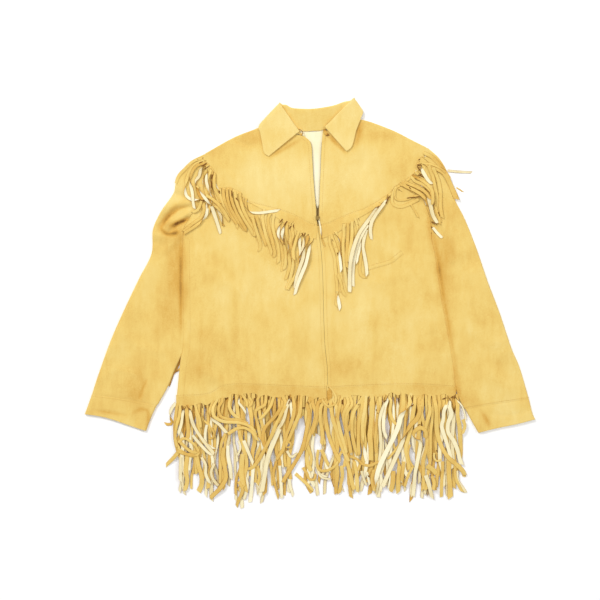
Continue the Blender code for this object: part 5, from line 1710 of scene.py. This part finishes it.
TABS = [
    # name, which way it lies, width in mm, points in pixels of the photograph, what it rests on
    ("stand_end_left", "gcg", 6, [(296.5, 130), (300.5, 130.2), (303, 133), (300.5, 135.6)], "yoke_left"),
    ("stand_end_right", "bgb", 8, [(324.5, 129.5), (325.5, 133.5), (328, 136)], "yoke_right"),
]
for name, codes, wide, points, under in TABS:
    fringe(name, strips_on_plan([(codes, wide, points)], PHOTOGRAPH), [])

# %% [markdown]
# ## The zip, its thong and the pocket
# The zip's two tapes lie under the turned edges of the fronts, and only a dark line and a glint of brass
# show. A thong of hide hangs from the slider in place of a pull. The pocket is a sloping slit whose
# edge is doubled and stitched.

# %% Zip tapes and teeth
ZIP_TOP_Y = 352.0
ZIP_OPENS_Y = 214.0
CLOSED_ZIP = [(17.5, 166), (16.6, 184), (16.6, 203)]
TAPE_WIDE = 10.0
TAPE_THICK = 1.2
TAPE_COLUMNS = (0.15, 2.5, 5.0, 7.5, TAPE_WIDE)
TOOTH_PITCH = 2.5
TOOTH = (1.3, 2.2, 0.9)


def zip_line(opening):
    """The line of one half of the zip from the hem up: closed at the centre, then beside its opening."""
    centre = edge(CENTRE_FRONT, 90)[::-1]
    above = curve_through(opening)
    above = above[(above[:, 1] < ZIP_TOP_Y) & (above[:, 1] > ZIP_OPENS_Y)][::-1]
    return np.vstack([centre[:-1], at_shares(np.vstack([CLOSED_ZIP, above]), even(60))])


def every(line, pitch):
    """The places along a line that are about this far apart."""
    return at_shares(line, even(int(reach_of(line)[-1] / pitch)))


def add_along(sheet, places, levels_above, operator, settings, size):
    """Adds a small solid at each place, stretched to its size and turned to follow the line of places."""
    headings = np.arctan2(*np.gradient(places, axis=0).T[::-1])
    levels = surface(places[:, 0], places[:, 1]) + levels_above
    for (x, y), heading, level in zip(places, headings, levels):
        before = len(sheet.verts)
        operator(sheet, **settings)
        sheet.verts.ensure_lookup_table()
        solid = sheet.verts[before:]
        bmesh.ops.scale(sheet, vec=size, verts=solid)
        bmesh.ops.rotate(sheet, matrix=Matrix.Rotation(heading, 3, "Z"), verts=solid)
        bmesh.ops.translate(sheet, vec=(x * MM, y * MM, level * MM), verts=solid)


teeth = bmesh.new()
for name, opening, outward in (("left", OPENING_LEFT, 1), ("right", OPENING_RIGHT, -1)):
    line = zip_line(opening)
    plan = np.stack([moved_sideways(line, outward * across) for across in TAPE_COLUMNS], axis=1)
    tape = bmesh.new()
    add_grid(tape, raised(plan, -HIDE - SEAM_GAP))
    face_up(tape)
    made = finished(f"zip_tape_{name}_cotton", tape, [cotton_tape], [f"zip_tape_{name}"],
                    TAPE_THICK)
    places = moved_sideways(every(line, TOOTH_PITCH), outward * 0.5)
    add_along(teeth, places, 0.3 - HIDE, bmesh.ops.create_cube, {"size": MM}, TOOTH)
finished("zip_teeth", teeth, [dull_brass])

for surface_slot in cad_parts["zip_slider"].material_slots:
    surface_slot.link = "OBJECT"
    surface_slot.material = dull_brass


# %% Pocket and thong
POCKET_LINE = [(128, 73), (150, 80), (176, 88), (202, 108)]
WELT_WIDE, WELT_HIGH, WELT_WALL = 7.0, 0.25, 0.4
WELT_COLUMNS = np.array([-1, -0.8, -0.4, 0, 0.4, 0.8, 1.0])

line = edge(POCKET_LINE, 40)
plan = np.stack([moved_sideways(line, -share * WELT_WIDE / 2) for share in WELT_COLUMNS], axis=1)
points = raised(plan)
points[..., 2] += WELT_HIGH * np.sqrt(np.maximum(1 - WELT_COLUMNS**2, 0)) + WELT_WALL + 0.1
welt = bmesh.new()
add_grid(welt, points)
face_up(welt)
made = finished("pocket_welt_hide", welt, [gold_suede, cream_flesh], ["pocket_welt"], WELT_WALL)

THONG = [("cccgg", 4.5, [(830, 225), (832, 250), (850, 340), (860, 420), (880, 500), (900, 560)])]
fringe("zip_thong", strips_on_plan(THONG, YOKE_MIDDLE_PLAN), ["zip_pull"])

# %% [markdown]
# ## Stitching
# The seams and edges are topstitched with waxed thread. A stitch is a tiny grain of rice half sunk into
# the hide, the same few faces every time, laid along the seam lines.

# %% Stitches
STITCH = (2.6, 0.9, 0.7)
STITCH_PITCH = 4.0
STITCH_LINES = [
    # name, line, how far to its left, how far above the upper layer
    ("zip_left", CENTRE_FRONT, -7.0, 0.0),
    ("zip_right", CENTRE_FRONT, 7.0, 0.0),
    ("opening_left", OPENING_LEFT, -7.0, 0.0),
    ("opening_right", OPENING_RIGHT, 7.0, 0.0),
    ("hem", HEM, 3.0, 0.0),
    ("yoke_left", YOKE_SEAM_LEFT, -3.0, 0.0),
    ("yoke_right", YOKE_SEAM_RIGHT, 3.0, 0.0),
    ("side_left", SIDE_LEFT[1:], 15.0, 0.0),
    ("pocket_upper", POCKET_LINE, 4.6, 0.0),
    ("pocket_lower", POCKET_LINE, -4.6, 0.0),
    ("cuff_left", CUFF_SEAM_LEFT, -4.0, CUFF_LIFT),
    ("cuff_right", CUFF_SEAM_RIGHT, -4.0, CUFF_LIFT),
]

stitches = bmesh.new()
for name, points, aside, level in STITCH_LINES:
    places = every(moved_sideways(curve_through(points), aside), STITCH_PITCH)
    add_along(stitches, places, level + 0.05, bmesh.ops.create_icosphere,
              {"subdivisions": 1, "radius": MM / 2}, STITCH)
finished("stitches", stitches, [waxed_thread])
